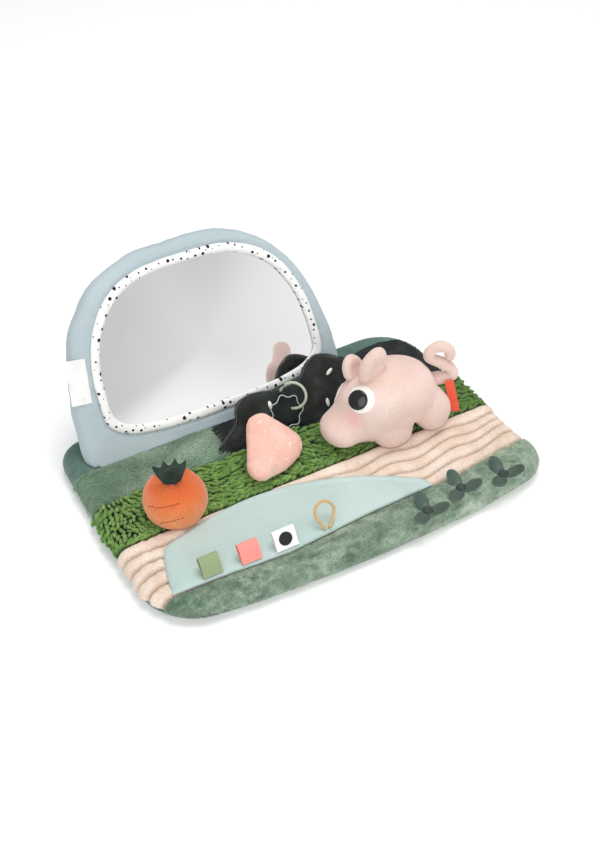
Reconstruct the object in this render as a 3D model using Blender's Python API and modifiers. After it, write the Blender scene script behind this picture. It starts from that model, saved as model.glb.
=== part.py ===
"""Tummy time book: a padded play mat with a framed safety mirror and sewn-on or loose soft toys.

Units are metres, +Z up, +X along the front edge of the mat, +Y towards the mirror.
The mat lies on z = 0.
"""
import math

import bmesh
import bpy
from mathutils import Matrix, Vector

MM = 0.001

# ----------------------------------------------------------------------------
# driving dimensions (millimetres unless an angle)
# ----------------------------------------------------------------------------
FRAME_X = -3.11         # shift of the mat's own centre to the part's frame
FRAME_Y = -29.50

MAT_HALF_W = 183.0     # half width of the mat
MAT_REAR = 126.0       # rear edge
MAT_FRONT = -106.0     # front edge at the corners
MAT_BOW = 14.0         # the front edge bows out by this much in the middle
MAT_FLARE = 10.0       # the front right corner flares out by this much
MAT_SKEW = 4.0         # and stands this much further forward than the left one
MAT_TOP = 20.0         # height of the mat
MAT_SEAM = 8.5         # height of the seam between the top panels and the under cover
RADIUS_FL, RADIUS_FR, RADIUS_RR, RADIUS_RL = 44.0, 30.0, 46.0, 26.0
SKIN = 2.0             # fabric with its lining
GAP = 0.3              # clearance between neighbouring pieces
SEAT = MAT_TOP + GAP   # height at which loose things rest on the mat

Y_GRASS_CORD = -21.0   # seam between the grass strip and the corded strip
Y_PLUSH_GRASS = 34.0   # seam between the plush panels and the grass strip
X_SAGE_DARK = -52.0    # seam between the sage and the dark plush panels
Y_APRON = 77.0         # front edge of the rear apron, the mirror's fold line
Y_FRONT_SEAM = -86.0   # seam of the front velvet panel, also the pond flap's fold line

LEAN = math.radians(31.0)   # how far the mirror leans back
MIRROR_X = -35.5
MIRROR_HALF_W = 130.0
MIRROR_H = 171.0
MIRROR_T = 23.0
BIND_X = -31.5
BIND_HALF_W = 109.5
BIND_MID_V = 53.0
BIND_UP = 104.0
BIND_DOWN = 41.5
BIND_W = 8.5

HEDGE_LEAN = math.radians(30.0)
HEDGE_Y = 36.0
HEDGE_T = 12.0
HEDGE_BACK = math.radians(8.0)   # the foot is cut away so far that the hedge can lean back by this much

POND_T = 2.6
POND_FOLD = 4.5        # the flap folds about a line this far in front of the straight part of the seam
TAB_TILT = math.radians(48.0)
TREFOILS = ((58.0, -111.0), (98.0, -102.5), (139.5, -107.0))
TREFOIL_R = 18.0

CARROT = (-123.5, -6.0)
PIG_X, PIG_Y = 0.0, 0.0


# ----------------------------------------------------------------------------
# scene helpers
# ----------------------------------------------------------------------------
for _ob in list(bpy.data.objects):
    bpy.data.objects.remove(_ob, do_unlink=True)

PARTS = bpy.data.collections.new("tummy_time_book")
CUTTERS = bpy.data.collections.new("cutters")
bpy.context.scene.collection.children.link(PARTS)
bpy.context.scene.collection.children.link(CUTTERS)


def material(name, rgb, rough=0.9, metal=0.0, alpha=1.0):
    mat = bpy.data.materials.new(name)
    mat.use_nodes = True
    bsdf = mat.node_tree.nodes["Principled BSDF"]
    bsdf.inputs["Base Color"].default_value = (*[(c / 255.0) ** 2.2 for c in rgb], 1.0)
    bsdf.inputs["Roughness"].default_value = rough
    bsdf.inputs["Metallic"].default_value = metal
    bsdf.inputs["Alpha"].default_value = alpha
    mat.diffuse_color = (*[(c / 255.0) ** 2.2 for c in rgb], alpha)
    return mat


M_COVER = material("under_cover_green", (84, 115, 104))
M_APRON = material("apron_green", (84, 115, 104))
M_FOAM = material("wadding_white", (236, 236, 230))
M_SAGE = material("sage_plush", (140, 176, 150))
M_DARK = material("dark_plush", (46, 50, 50))
M_GRASS = material("grass_chenille", (96, 140, 60))
M_CORD = material("wide_wale_cord", (232, 212, 194))
M_VELVET = material("marbled_velvet", (125, 160, 138))
M_POND = material("mint_satin", (198, 220, 215), 0.6)
M_FRAME = material("pale_blue_cotton", (192, 208, 213))
M_GLASS = material("mirror_film", (235, 235, 235), 0.03, 1.0)
M_BOARD = material("board_grey", (180, 175, 165))
M_BIND = material("speckled_binding", (240, 240, 238))
M_WHITE = material("white_label", (244, 244, 242))
M_PIG = material("pink_plush", (240, 208, 198))
M_EYE = material("eye_white_felt", (246, 244, 238))
M_PUPIL = material("pupil_black", (20, 20, 20), 0.4)
M_TAG = material("red_tag", (250, 95, 70))
M_CARROT = material("orange_velour", (238, 125, 60))
M_FELT = material("dark_felt", (35, 42, 38))
M_CORAL = material("coral_plush", (250, 190, 172))
M_SILICONE = material("green_silicone", (88, 112, 98), 0.55)
M_RIBBON_G = material("ribbon_green", (150, 175, 120))
M_RIBBON_C = material("ribbon_coral", (250, 120, 115))
M_CORD_TAN = material("tan_cord", (222, 185, 125))
M_RING = material("pale_ring", (196, 205, 180), 0.6)
M_CLEAR = material("clear_teether", (220, 225, 222), 0.2, 0.0, 0.4)


def empty(name, x, y, z, parent=None, rx=0.0, ry=0.0, rz=0.0):
    ob = bpy.data.objects.new(name, None)
    PARTS.objects.link(ob)
    ob.location = (x * MM, y * MM, z * MM)
    ob.rotation_euler = (rx, ry, rz)
    ob.parent = parent
    return ob


FRAME = empty("frame", FRAME_X, FRAME_Y, 0.0)


def add(name, bm, mat, parent=FRAME, loc=(0, 0, 0), rot=(0, 0, 0), cutter=False, smooth=True):
    """Turn a bmesh in millimetres into an object in metres."""
    bmesh.ops.scale(bm, vec=(MM, MM, MM), verts=bm.verts)
    bmesh.ops.recalc_face_normals(bm, faces=bm.faces)
    mesh = bpy.data.meshes.new(name)
    bm.to_mesh(mesh)
    bm.free()
    ob = bpy.data.objects.new(name, mesh)
    (CUTTERS if cutter else PARTS).objects.link(ob)
    ob.location = [c * MM for c in loc]
    ob.rotation_euler = rot
    ob.parent = parent
    if cutter:
        ob.hide_render = True
        ob.display_type = "WIRE"
    else:
        mesh.materials.append(mat)
        if smooth:
            mesh.shade_smooth()
            mesh.set_sharp_from_angle(angle=math.radians(40))
    return ob


def prism(points, z0, z1, top_bevel=0.0, bottom_bevel=0.0, segments=3):
    """A flat outline extruded from z0 to z1, with rounded rims."""
    bm = bmesh.new()
    verts = [bm.verts.new((x, y, z0)) for x, y in points]
    face = bm.faces.new(verts)
    ext = bmesh.ops.extrude_face_region(bm, geom=[face])
    top = [v for v in ext["geom"] if isinstance(v, bmesh.types.BMVert)]
    bmesh.ops.translate(bm, verts=top, vec=(0, 0, z1 - z0))
    for z, width in ((z1, top_bevel), (z0, bottom_bevel)):
        if width > 0:
            rim = [e for e in bm.edges if all(abs(v.co.z - z) < 1e-4 for v in e.verts)]
            bmesh.ops.bevel(bm, geom=rim, offset=width, offset_type="OFFSET", segments=segments,
                            profile=0.5, affect="EDGES", clamp_overlap=True)
    return bm


def stand_up(bm):
    """Turn a prism made in XY so that its outline stands in XZ and its thickness runs along +Y."""
    bmesh.ops.rotate(bm, verts=bm.verts, cent=(0, 0, 0), matrix=Matrix.Rotation(math.pi / 2, 3, "X"))
    bmesh.ops.scale(bm, vec=(1, -1, 1), verts=bm.verts)
    return bm


def ball(centre, radii, segments=24, rings=14):
    bm = bmesh.new()
    bmesh.ops.create_uvsphere(bm, u_segments=segments, v_segments=rings, radius=1.0)
    bmesh.ops.scale(bm, vec=radii, verts=bm.verts)
    bmesh.ops.translate(bm, vec=centre, verts=bm.verts)
    return bm


def box(low, high):
    bm = bmesh.new()
    bmesh.ops.create_cube(bm, size=1.0)
    bmesh.ops.scale(bm, vec=[h - l for l, h in zip(low, high)], verts=bm.verts)
    bmesh.ops.translate(bm, vec=[(h + l) / 2 for l, h in zip(low, high)], verts=bm.verts)
    return bm


def boolean(ob, other, operation):
    mod = ob.modifiers.new(operation.lower(), "BOOLEAN")
    mod.object = other
    mod.operation = operation
    mod.solver = "EXACT"
    return mod


def smooth_loop(points, steps=4, closed=True):
    """Catmull-Rom through the control points."""
    n = len(points)
    out = []
    for i in range(n if closed else n - 1):
        p = [points[(i + k) % n] if closed else points[min(max(i + k, 0), n - 1)] for k in (-1, 0, 1, 2)]
        for s in range(steps):
            t = s / steps
            out.append(tuple(
                0.5 * ((2 * p[1][a]) + (-p[0][a] + p[2][a]) * t
                       + (2 * p[0][a] - 5 * p[1][a] + 4 * p[2][a] - p[3][a]) * t * t
                       + (-p[0][a] + 3 * p[1][a] - 3 * p[2][a] + p[3][a]) * t ** 3)
                for a in range(len(points[0]))))
    if not closed:
        out.append(tuple(points[-1]))
    return out


def tube(name, points, radius, mat, parent=FRAME, closed=False, resolution=2):
    """A bent round cord or wire as a bevelled curve."""
    curve = bpy.data.curves.new(name, "CURVE")
    curve.dimensions = "3D"
    curve.bevel_depth = radius * MM
    curve.bevel_resolution = resolution
    curve.use_fill_caps = not closed
    spline = curve.splines.new("POLY")
    spline.points.add(len(points) - 1)
    for sp, p in zip(spline.points, points):
        sp.co = (*[c * MM for c in p], 1.0)
    spline.use_cyclic_u = closed
    ob = bpy.data.objects.new(name, curve)
    PARTS.objects.link(ob)
    ob.parent = parent
    curve.materials.append(mat)
    return ob


# ----------------------------------------------------------------------------
# mat outline
# ----------------------------------------------------------------------------
def mat_outline(inset=0.0, per_corner=6, per_edge=5):
    """Rounded rectangle with four different corners and a bowed front edge, pulled in by inset."""
    w = MAT_HALF_W - inset
    rear = MAT_REAR - inset
    front = MAT_FRONT + inset
    pts = []

    def corner(cx, cy, r, start):
        r = max(r - inset, 4.0)
        for k in range(per_corner + 1):
            a = math.radians(start + 90.0 * k / per_corner)
            pts.append((cx + r * math.cos(a), cy + r * math.sin(a)))

    def centre(r, sx, sy):
        r = max(r - inset, 4.0)
        return (sx * (w - r), (rear - r) if sy > 0 else (front + r))

    c = centre(RADIUS_FL, -1, -1)
    corner(*c, RADIUS_FL, 180)
    c2 = centre(RADIUS_FR, 1, -1)
    for k in range(1, per_edge + 1):
        pts.append((c[0] + (c2[0] - c[0]) * k / (per_edge + 1), front))
    corner(*c2, RADIUS_FR, 270)
    corner(*centre(RADIUS_RR, 1, 1), RADIUS_RR, 0)
    corner(*centre(RADIUS_RL, -1, 1), RADIUS_RL, 90)
    out = []
    for x, y in pts:
        f = max(0.0, min(1.0, (-y - 20.0) / 90.0))
        wide = MAT_FLARE * f * max(0.0, x / w) ** 2
        out.append((x + wide, y - MAT_BOW * f * max(0.0, 1.0 - (x / w) ** 2) - MAT_SKEW * f * x / w))
    return out


def mat_slab(inset, z0, z1, top, bottom, segments=3):
    return prism(mat_outline(inset), z0, z1, top, bottom, segments)


def strip(points, z0=MAT_SEAM + GAP / 2, z1=40.0):
    return prism(points, z0, z1)


FAR = 240.0
hollow = add("cut_hollow", mat_slab(SKIN, 1.6, MAT_TOP - SKIN, 9.0, 6.0), None, cutter=True)
above = add("cut_above", box((-FAR, -FAR, MAT_SEAM - GAP / 2), (FAR, FAR, 60)), None, cutter=True)

# under cover: a shallow fabric tray that the filling lies in
back_cover = add("back_cover", mat_slab(0.0, 0.0, MAT_TOP, 10.5, 7.5), M_COVER)
boolean(back_cover, hollow, "DIFFERENCE")
boolean(back_cover, above, "DIFFERENCE")

# filling
base_wadding = add("base_wadding", mat_slab(SKIN + GAP, 1.6 + GAP, MAT_TOP - SKIN - GAP, 9.2, 6.2), M_FOAM)

# top panels, sewn edge to edge
g = GAP / 2
cord_line = [(-FAR, Y_GRASS_CORD), (FAR, Y_GRASS_CORD)]


def seam_y(x):
    """The front seam bows forward a little where the tabs are."""
    return Y_FRONT_SEAM - 5.5 * math.exp(-((x + 62.0) / 55.0) ** 2)


front_line = ([(-FAR, Y_FRONT_SEAM)] + [(x, seam_y(x)) for x in range(-180, 81, 20)]
              + [(110, -85.0), (150, -79.5), (184, -75.5), (FAR, -70.0)])


def shifted(line, d):
    return [(x, y + d) for x, y in line]


panels = {
    "velvet_front_panel": (M_VELVET, shifted(front_line, -g) + [(FAR, -FAR), (-FAR, -FAR)]),
    "corduroy_panel": (M_CORD, shifted(front_line, g) + shifted(cord_line[::-1], -g)),
    "grass_panel": (M_GRASS, [(-FAR, Y_GRASS_CORD + g), (FAR, Y_GRASS_CORD + g),
                              (FAR, Y_PLUSH_GRASS - g), (-FAR, Y_PLUSH_GRASS - g)]),
    "sage_plush_panel": (M_SAGE, [(-FAR, Y_PLUSH_GRASS + g), (X_SAGE_DARK - g, Y_PLUSH_GRASS + g),
                                  (X_SAGE_DARK - g, Y_APRON - g), (-FAR, Y_APRON - g)]),
    "dark_plush_panel": (M_DARK, [(X_SAGE_DARK + g, Y_PLUSH_GRASS + g), (FAR, Y_PLUSH_GRASS + g), (FAR, 99.0 - g),
                                  (182, 99.0 - g), (150, 107.0 - g), (120, 105.0 - g), (100, 88.0 - g),
                                  (96, Y_APRON - g), (X_SAGE_DARK + g, Y_APRON - g)]),
    "rear_apron": (M_APRON, [(-FAR, Y_APRON + g), (96.0 - g, Y_APRON + g), (100 - g, 88.0 + g), (120, 105.0 + g),
                             (150, 107.0 + g), (182, 99.0 + g), (FAR, 99.0 + g), (FAR, FAR), (-FAR, FAR)]),
}
for name, (mat, outline) in panels.items():
    panel = add(name, mat_slab(0.0, 0.0, MAT_TOP, 10.5, 7.5), mat)
    cut = add("cut_" + name, strip(outline), None, cutter=True)
    boolean(panel, hollow, "DIFFERENCE")
    boolean(panel, cut, "INTERSECT")

# ----------------------------------------------------------------------------
# mirror panel, built upright in its own frame: x across, z up the panel, y into its thickness
# ----------------------------------------------------------------------------
MIRROR_AXIS = empty("mirror_axis", 0.0, Y_APRON, SEAT, FRAME, rx=-LEAN)
floor_cut = add("cut_mirror_base", box((-FAR, -FAR, -100), (FAR, FAR, 0)), None, parent=MIRROR_AXIS,
                rot=(LEAN, 0, 0), cutter=True)


def dome(inset=0.0, base=-8.0, n=30):
    """Outline of the padded frame: half of a superellipse on a straight base."""
    pts = []
    for k in range(n + 1):
        a = math.pi * k / n
        c, s = math.cos(a), math.sin(a)
        x = math.copysign(abs(c) ** (2 / 2.7), c) * (MIRROR_HALF_W - inset)
        z = (s ** (2 / 2.7) if s > 0 else 0.0) * (MIRROR_H - inset)
        pts.append((MIRROR_X + x, max(z, base + 0.5)))
    if base < 0:
        pts = [(pts[0][0], base)] + pts + [(pts[-1][0], base)]
    else:
        pts = [(x, z) for x, z in pts if z > base + 0.6]
        pts = [(pts[0][0], base)] + pts + [(pts[-1][0], base)]
    return pts


def pane(inset=0.0, n=36):
    """Outline of the binding, inset inwards: rounder at the top than at the bottom."""
    pts = []
    for k in range(n):
        a = 2 * math.pi * k / n
        c, s = math.cos(a), math.sin(a)
        x = math.copysign(abs(c) ** (2 / 2.95), c) * (BIND_HALF_W - inset)
        if s >= 0:
            z = abs(s) ** (2 / 2.2) * (BIND_UP - inset)
        else:
            z = -abs(s) ** (2 / 4.0) * (BIND_DOWN - inset)
        pts.append((BIND_X + x, BIND_MID_V + z))
    return pts


mirror_back_cover = add("mirror_back_cover", stand_up(prism(dome(), 1.6, MIRROR_T, 5.0, 0.0, 2)), M_FRAME, MIRROR_AXIS)
inner = add("cut_mirror_inner", stand_up(prism(dome(1.8, 14.0), -4.0, MIRROR_T - 1.8, 4.0, 0.0, 2)), None,
            MIRROR_AXIS, cutter=True)
boolean(mirror_back_cover, inner, "DIFFERENCE")
boolean(mirror_back_cover, floor_cut, "DIFFERENCE")

mirror_front_cover = add("mirror_front_cover", stand_up(prism(dome(), 0.0, 1.3)), M_FRAME, MIRROR_AXIS)
window = add("cut_window", stand_up(prism(pane(4.2), -5.0, 8.0)), None, MIRROR_AXIS, cutter=True)
boolean(mirror_front_cover, window, "DIFFERENCE")
boolean(mirror_front_cover, floor_cut, "DIFFERENCE")

mirror_sheet = add("mirror_sheet", stand_up(prism(pane(1.5), 1.6, 2.8)), M_GLASS, MIRROR_AXIS)
sheet_trim = add("cut_sheet", stand_up(prism(dome(2.4, 14.4), -4.0, 6.0)), None, MIRROR_AXIS, cutter=True)
boolean(mirror_sheet, sheet_trim, "INTERSECT")
mirror_board = add("mirror_board", stand_up(prism(dome(2.1, 14.3), 3.1, 4.9)), M_BOARD, MIRROR_AXIS)
mirror_pad = add("mirror_pad", stand_up(prism(dome(2.1, 14.3), 5.2, MIRROR_T - 2.1, 4.2, 0.0, 2)), M_FOAM, MIRROR_AXIS)

binding = add("mirror_binding", stand_up(prism(pane(0.0), -1.7, -0.3)), M_BIND, MIRROR_AXIS)
bind_hole = add("cut_binding", stand_up(prism(pane(BIND_W), -6.0, 4.0)), None, MIRROR_AXIS, cutter=True)
boolean(binding, bind_hole, "DIFFERENCE")

side_label = add("side_label", box((-8.5, -0.9, -19.5), (8.5, -0.3, 19.5)), M_WHITE, MIRROR_AXIS,
                 loc=(-153.0, 0, 77.0), rot=(0, math.radians(8), 0), smooth=False)

# ----------------------------------------------------------------------------
# dark hedge: a flat stuffed cushion sewn in along its foot, leaning back
# ----------------------------------------------------------------------------
HEDGE_AXIS = empty("hedge_axis", 0.0, HEDGE_Y, SEAT, FRAME, rx=-HEDGE_LEAN)
hedge_outline = smooth_loop([(-66, -9), (-64, 2), (-49, 13), (-37, 23), (-33, 35), (-24, 42), (-8, 43), (8, 39),
                             (24, 39), (34, 42), (42, 51), (52, 57), (62, 56), (74, 50), (88, 41), (98, 26),
                             (106, 8), (109, -9)], 2)
hedge = add("hedge_cushion", stand_up(prism(hedge_outline, 0.0, HEDGE_T, 4.5, 4.5, 2)), M_DARK, HEDGE_AXIS)
hedge_cut = add("cut_hedge_base", box((-FAR, -FAR, -60), (FAR, FAR, 0)), None, parent=HEDGE_AXIS,
                rot=(HEDGE_LEAN + HEDGE_BACK, 0, 0), cutter=True)
boolean(hedge, hedge_cut, "DIFFERENCE")

# ring on a short dark cord, with a clear leaf-shaped teether hanging on it
ring_cord = tube("ring_cord", smooth_loop([(3, -1.3, 41.0), (9, -1.9, 42.5), (14.5, -2.2, 43.0)], 3, closed=False),
                 0.9, M_FELT, HEDGE_AXIS)
TEETHER_AXIS = empty("teether_axis", 20.0, -4.6, 43.0, HEDGE_AXIS)
ring_pts = [(12.0 * math.sin(2 * math.pi * k / 18), 0.0, -12.0 + 12.0 * math.cos(2 * math.pi * k / 18))
            for k in range(18)]
teether_ring = tube("teether_ring", ring_pts, 1.4, M_RING, TEETHER_AXIS, closed=True)


def leaf_outline(n=28):
    """An oak-like leaf: a long oval with a wavy rim."""
    out = []
    for k in range(n):
        a = 2 * math.pi * k / n
        r = 1.0 + 0.10 * math.cos(7 * a + 0.6)
        out.append((15.5 * r * math.sin(a), -29.0 + 15.0 * r * math.cos(a)))
    return out


teether_leaf = add("teether_leaf", stand_up(prism(leaf_outline(), 1.7, 3.8, 0.7, 0.7, 1)), M_CLEAR, TEETHER_AXIS)
teether_leaf.location = (-10.0 * MM, 0, 5.0 * MM)

# ----------------------------------------------------------------------------
# pond flap with the ribbon tabs and the cord loop in its seam
# ----------------------------------------------------------------------------
POND_AXIS = empty("pond_axis", 0.0, Y_FRONT_SEAM - POND_FOLD, SEAT + POND_T / 2, FRAME)
pond_top = [(-158, 1.0), (-156, 16), (-151, 36), (-146, 48), (-136, 50.5), (-114, 53), (-89, 59), (-62, 63),
            (-35, 61.5), (-8, 57), (24, 43), (45, 28), (66, 10), (78, 1.0)]
pond_outline = smooth_loop(pond_top, 2, closed=False)
pond_outline += [(78 - 236 * k / 12, 1.0 + seam_y(78 - 236 * k / 12) - Y_FRONT_SEAM) for k in range(1, 12)]
pond_outline = [(x, y + POND_FOLD) for x, y in pond_outline]
pond_flap = add("pond_flap", prism(pond_outline, -POND_T / 2, POND_T / 2, 0.9, 0.9, 1), M_POND, POND_AXIS)

TAB_Z = SEAT + POND_T + GAP
for name, x, width, length, mat in (("ribbon_tab_green", -129.0, 17.0, 17.0, M_RIBBON_G),
                                    ("ribbon_tab_coral", -95.5, 17.5, 17.0, M_RIBBON_C),
                                    ("ribbon_tab_white", -64.0, 20.0, 18.0, M_WHITE)):
    axis = empty(name + "_axis", x, seam_y(x) + 1.5, TAB_Z + 0.9, FRAME, rx=TAB_TILT)
    tab_profile = [(0.0, -0.8), (length - 1.2, -1.0), (length - 0.3, -0.7), (length, 0.0),
                   (length - 0.3, 0.7), (length - 1.2, 1.0), (0.0, 0.8)]
    bm = prism(tab_profile, -width / 2, width / 2)
    # profile plane to YZ, width along X
    bmesh.ops.rotate(bm, verts=bm.verts, cent=(0, 0, 0), matrix=Matrix.Rotation(math.pi / 2, 3, "X"))
    bmesh.ops.rotate(bm, verts=bm.verts, cent=(0, 0, 0), matrix=Matrix.Rotation(math.pi / 2, 3, "Z"))
    add(name, bm, mat, axis)

LOOP_AXIS = empty("cord_loop_axis", -26.5, seam_y(-26.5) + 1.5, TAB_Z + 1.4, FRAME, rx=TAB_TILT)
loop_pts = smooth_loop([(-1.8, 0.5, 0), (-4.6, 8.0, 0), (-6.4, 15.5, 0), (-3.6, 22.0, 0), (2.8, 24.8, 0),
                        (9.0, 21.8, 0), (11.0, 15.0, 0), (6.8, 7.6, 0), (1.8, 0.5, 0)], 3, closed=False)
cord_loop = tube("cord_loop", loop_pts, 1.3, M_CORD_TAN, LOOP_AXIS)

# ----------------------------------------------------------------------------
# three trefoil leaves that spin on their rivets
# ----------------------------------------------------------------------------
RIVET_STEM, RIVET_CAP = 2.2, 4.2
for i, (x, y) in enumerate(TREFOILS, 1):
    turn = math.radians((0.0, 3.0, 5.0)[i - 1])
    axis = empty("trefoil_%d_axis" % i, x, y, 0.0, FRAME)
    pts = []
    for k in range(48):
        a = 2 * math.pi * k / 48
        lobe = abs(math.cos(1.5 * (a - math.radians(90) - turn)))
        pts.append(((4.2 + (TREFOIL_R - 4.2) * lobe ** 0.8) * math.cos(a),
                    (4.2 + (TREFOIL_R - 4.2) * lobe ** 0.8) * math.sin(a)))
    leaf = add("trefoil_%d" % i, prism(pts, SEAT + 1.6, SEAT + 3.6, 0.5, 0.0, 1), M_SILICONE, axis)
    bm = bmesh.new()
    bmesh.ops.create_cone(bm, cap_ends=True, segments=16, radius1=RIVET_STEM + 0.35, radius2=RIVET_STEM + 0.35, depth=30)
    hole = add("cut_trefoil_%d" % i, bm, None, axis, loc=(0, 0, 24), cutter=True)
    boolean(leaf, hole, "DIFFERENCE")
    profile = [(0.0, SEAT + 5.0), (2.4, SEAT + 5.0), (RIVET_CAP - 0.5, SEAT + 4.8), (RIVET_CAP, SEAT + 4.3),
               (RIVET_CAP, SEAT + 3.95), (RIVET_STEM, SEAT + 3.95), (RIVET_STEM, SEAT), (0.0, SEAT)]
    mesh = bpy.data.meshes.new("rivet_%d" % i)
    mesh.from_pydata([(r * MM, 0.0, z * MM) for r, z in profile], [(k, k + 1) for k in range(len(profile) - 1)], [])
    rivet = bpy.data.objects.new("rivet_%d" % i, mesh)
    PARTS.objects.link(rivet)
    rivet.parent = axis
    mesh.materials.append(M_SILICONE)
    screw = rivet.modifiers.new("turn", "SCREW")
    screw.axis = "Z"
    screw.angle = 2 * math.pi
    screw.steps = 14
    screw.render_steps = 14
    screw.use_merge_vertices = True
    screw.merge_threshold = 0.00001
    screw.use_smooth_shade = True

# ----------------------------------------------------------------------------
# carrot: a squat turned cushion with a felt crown
# ----------------------------------------------------------------------------
CARROT_AXIS = empty("carrot_axis", CARROT[0], CARROT[1], 0.0, FRAME)
carrot_profile = [(0.0, 58.0), (6.0, 59.6), (12.5, 59.0), (18.5, 56.4), (23.5, 51.5), (27.0, 45.0), (28.0, 38.5),
                  (27.0, 32.0), (24.6, 26.2), (21.8, 22.4), (18.5, SEAT + 0.4), (0.0, SEAT + 0.4)]
mesh = bpy.data.meshes.new("carrot_body")
mesh.from_pydata([(r * MM, 0.0, z * MM) for r, z in carrot_profile], [(k, k + 1) for k in range(len(carrot_profile) - 1)], [])
carrot_body = bpy.data.objects.new("carrot_body", mesh)
PARTS.objects.link(carrot_body)
carrot_body.parent = CARROT_AXIS
mesh.materials.append(M_CARROT)
screw = carrot_body.modifiers.new("turn", "SCREW")
screw.axis = "Z"
screw.angle = 2 * math.pi
screw.steps = 22
screw.render_steps = 22
screw.use_merge_vertices = True
screw.merge_threshold = 0.00001
screw.use_smooth_shade = True

crown = [(-8.5, 0.0), (-13.0, 9.0), (-16.0, 20.0), (-9.5, 17.0), (-5.5, 25.5), (-1.0, 19.0), (4.5, 25.0),
         (8.5, 18.0), (15.5, 19.0), (13.0, 8.0), (9.0, 0.0)]
carrot_leaves = add("carrot_leaves", stand_up(prism(crown, -0.9, 0.9)), M_FELT, CARROT_AXIS,
                    loc=(-2.0, 0.0, 60.1), rot=(0, 0, math.radians(-14)), smooth=False)

# ----------------------------------------------------------------------------
# coral rounded-triangle cushion leaning against the hedge
# ----------------------------------------------------------------------------
CORAL_AXIS = empty("coral_axis", -26.5, 5.5, 39.9, FRAME)


def rounded_triangle(side_r=33.0, corner_r=11.0, per=4, start=90.0):
    pts = []
    for k in range(3):
        a = math.radians(start + 120 * k)
        cx, cy = (side_r - corner_r) * math.cos(a), (side_r - corner_r) * math.sin(a)
        for j in range(per + 1):
            b = a - math.radians(60) + math.radians(120) * j / per
            pts.append((cx + corner_r * math.cos(b), cy + corner_r * math.sin(b)))
    return pts


coral = add("coral_cushion", prism(rounded_triangle(), -10.0, 10.0, 7.5, 7.5, 3), M_CORAL, CORAL_AXIS,
            rot=(math.radians(38), math.radians(4), math.radians(10)))

# ----------------------------------------------------------------------------
# pig: one stuffed body with sewn ears, tail, felt eyes and a seam tag
# ----------------------------------------------------------------------------
PIG_AXIS = empty("pig_axis", PIG_X, PIG_Y, 0.0, FRAME)
HEAD_C, HEAD_R = (65.4, 0.0, 51.2), (27.5, 24.0, 30.0)
BODY_C, BODY_R = (91.0, -1.3, 59.7), (41.2, 33.0, 30.2)
pig_body = add("pig_body", ball(BODY_C, BODY_R, 22, 13), M_PIG, PIG_AXIS)
for i, (c, r) in enumerate((
        (HEAD_C, HEAD_R),
        ((39.0, -1.0, 40.0), (17.0, 19.5, 15.5)),
        ((82.7, -22.0, 34.2), (17.0, 12.0, 13.2)),
        ((82.7, 11.0, 34.2), (17.0, 12.0, 13.2)),
        ((124.5, -19.8, 41.6), (16.3, 16.0, 20.5)),
        ((124.5, 9.8, 41.6), (16.3, 16.0, 20.5)))):
    lump = add("cut_pig_lump_%d" % i, ball(c, r, 16, 10), None, PIG_AXIS, cutter=True)
    boolean(pig_body, lump, "UNION")


def grown(name, centre, radii, by):
    return add(name, ball(centre, [r + by for r in radii], 26, 16), None, PIG_AXIS, cutter=True)


head_clear = grown("cut_head_clear", HEAD_C, HEAD_R, 0.4)
body_clear = grown("cut_body_clear", BODY_C, BODY_R, 0.4)
for name, centre, radii, rot in (("pig_ear_near", (70.5, -1.0, 98.5), (14.0, 8.0, 20.0), (8, 14, 12)),
                                 ("pig_ear_far", (59.5, 14.0, 93.5), (10.5, 6.5, 15.0), (-14, -12, 10))):
    ear = add(name, ball((0, 0, 0), radii, 16, 10), M_PIG, PIG_AXIS, loc=centre,
              rot=[math.radians(a) for a in rot])
    boolean(ear, head_clear, "DIFFERENCE")
    boolean(ear, body_clear, "DIFFERENCE")

for side, gaze in (("near", (-14.0, -16.5, 23.5)), ("far", (-12.0, 19.0, 13.0))):
    for what, mat, radius, low, high in (("eye", M_EYE, 11.5, 0.4, 1.6), ("pupil", M_PUPIL, 8.5, 1.9, 2.9)):
        direction = Vector(gaze).normalized()
        bm = bmesh.new()
        bmesh.ops.create_cone(bm, cap_ends=True, segments=20, radius1=radius, radius2=radius, depth=30)
        disc = add("pig_%s_%s" % (what, side), bm, mat, PIG_AXIS)
        disc.rotation_euler = direction.to_track_quat("Z", "Y").to_euler()
        disc.location = Vector([c * MM for c in HEAD_C]) + direction * 27.0 * MM
        outer = grown("cut_%s_outer_%s" % (what, side), HEAD_C, HEAD_R, high)
        inner_s = grown("cut_%s_inner_%s" % (what, side), HEAD_C, HEAD_R, low)
        boolean(disc, outer, "INTERSECT")
        boolean(disc, inner_s, "DIFFERENCE")
        boolean(disc, body_clear, "DIFFERENCE")

tail_pts = smooth_loop([(137.5, -8.4, 62.0), (142.0, -11.0, 63.0), (146.7, -13.9, 67.0), (145.0, -12.9, 73.5),
                        (137.3, -8.4, 79.5), (131.5, -5.2, 86.5), (133.0, -6.0, 94.0), (139.5, -9.7, 96.5),
                        (144.0, -12.3, 91.0)], 3, closed=False)
pig_tail = tube("pig_tail", tail_pts, 4.6, M_PIG, PIG_AXIS)

pig_tag = add("pig_tag", box((-4.0, -0.4, -18.0), (4.0, 0.4, 18.0)), M_TAG, PIG_AXIS,
              loc=(144.2, -23.2, 48.5), rot=(0, math.radians(-22.5), math.radians(-30)), smooth=False)
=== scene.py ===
import math

import bmesh
import bpy
import numpy as np
from mathutils import Matrix, Vector
from mathutils.bvhtree import BVHTree
from mathutils.kdtree import KDTree


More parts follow.
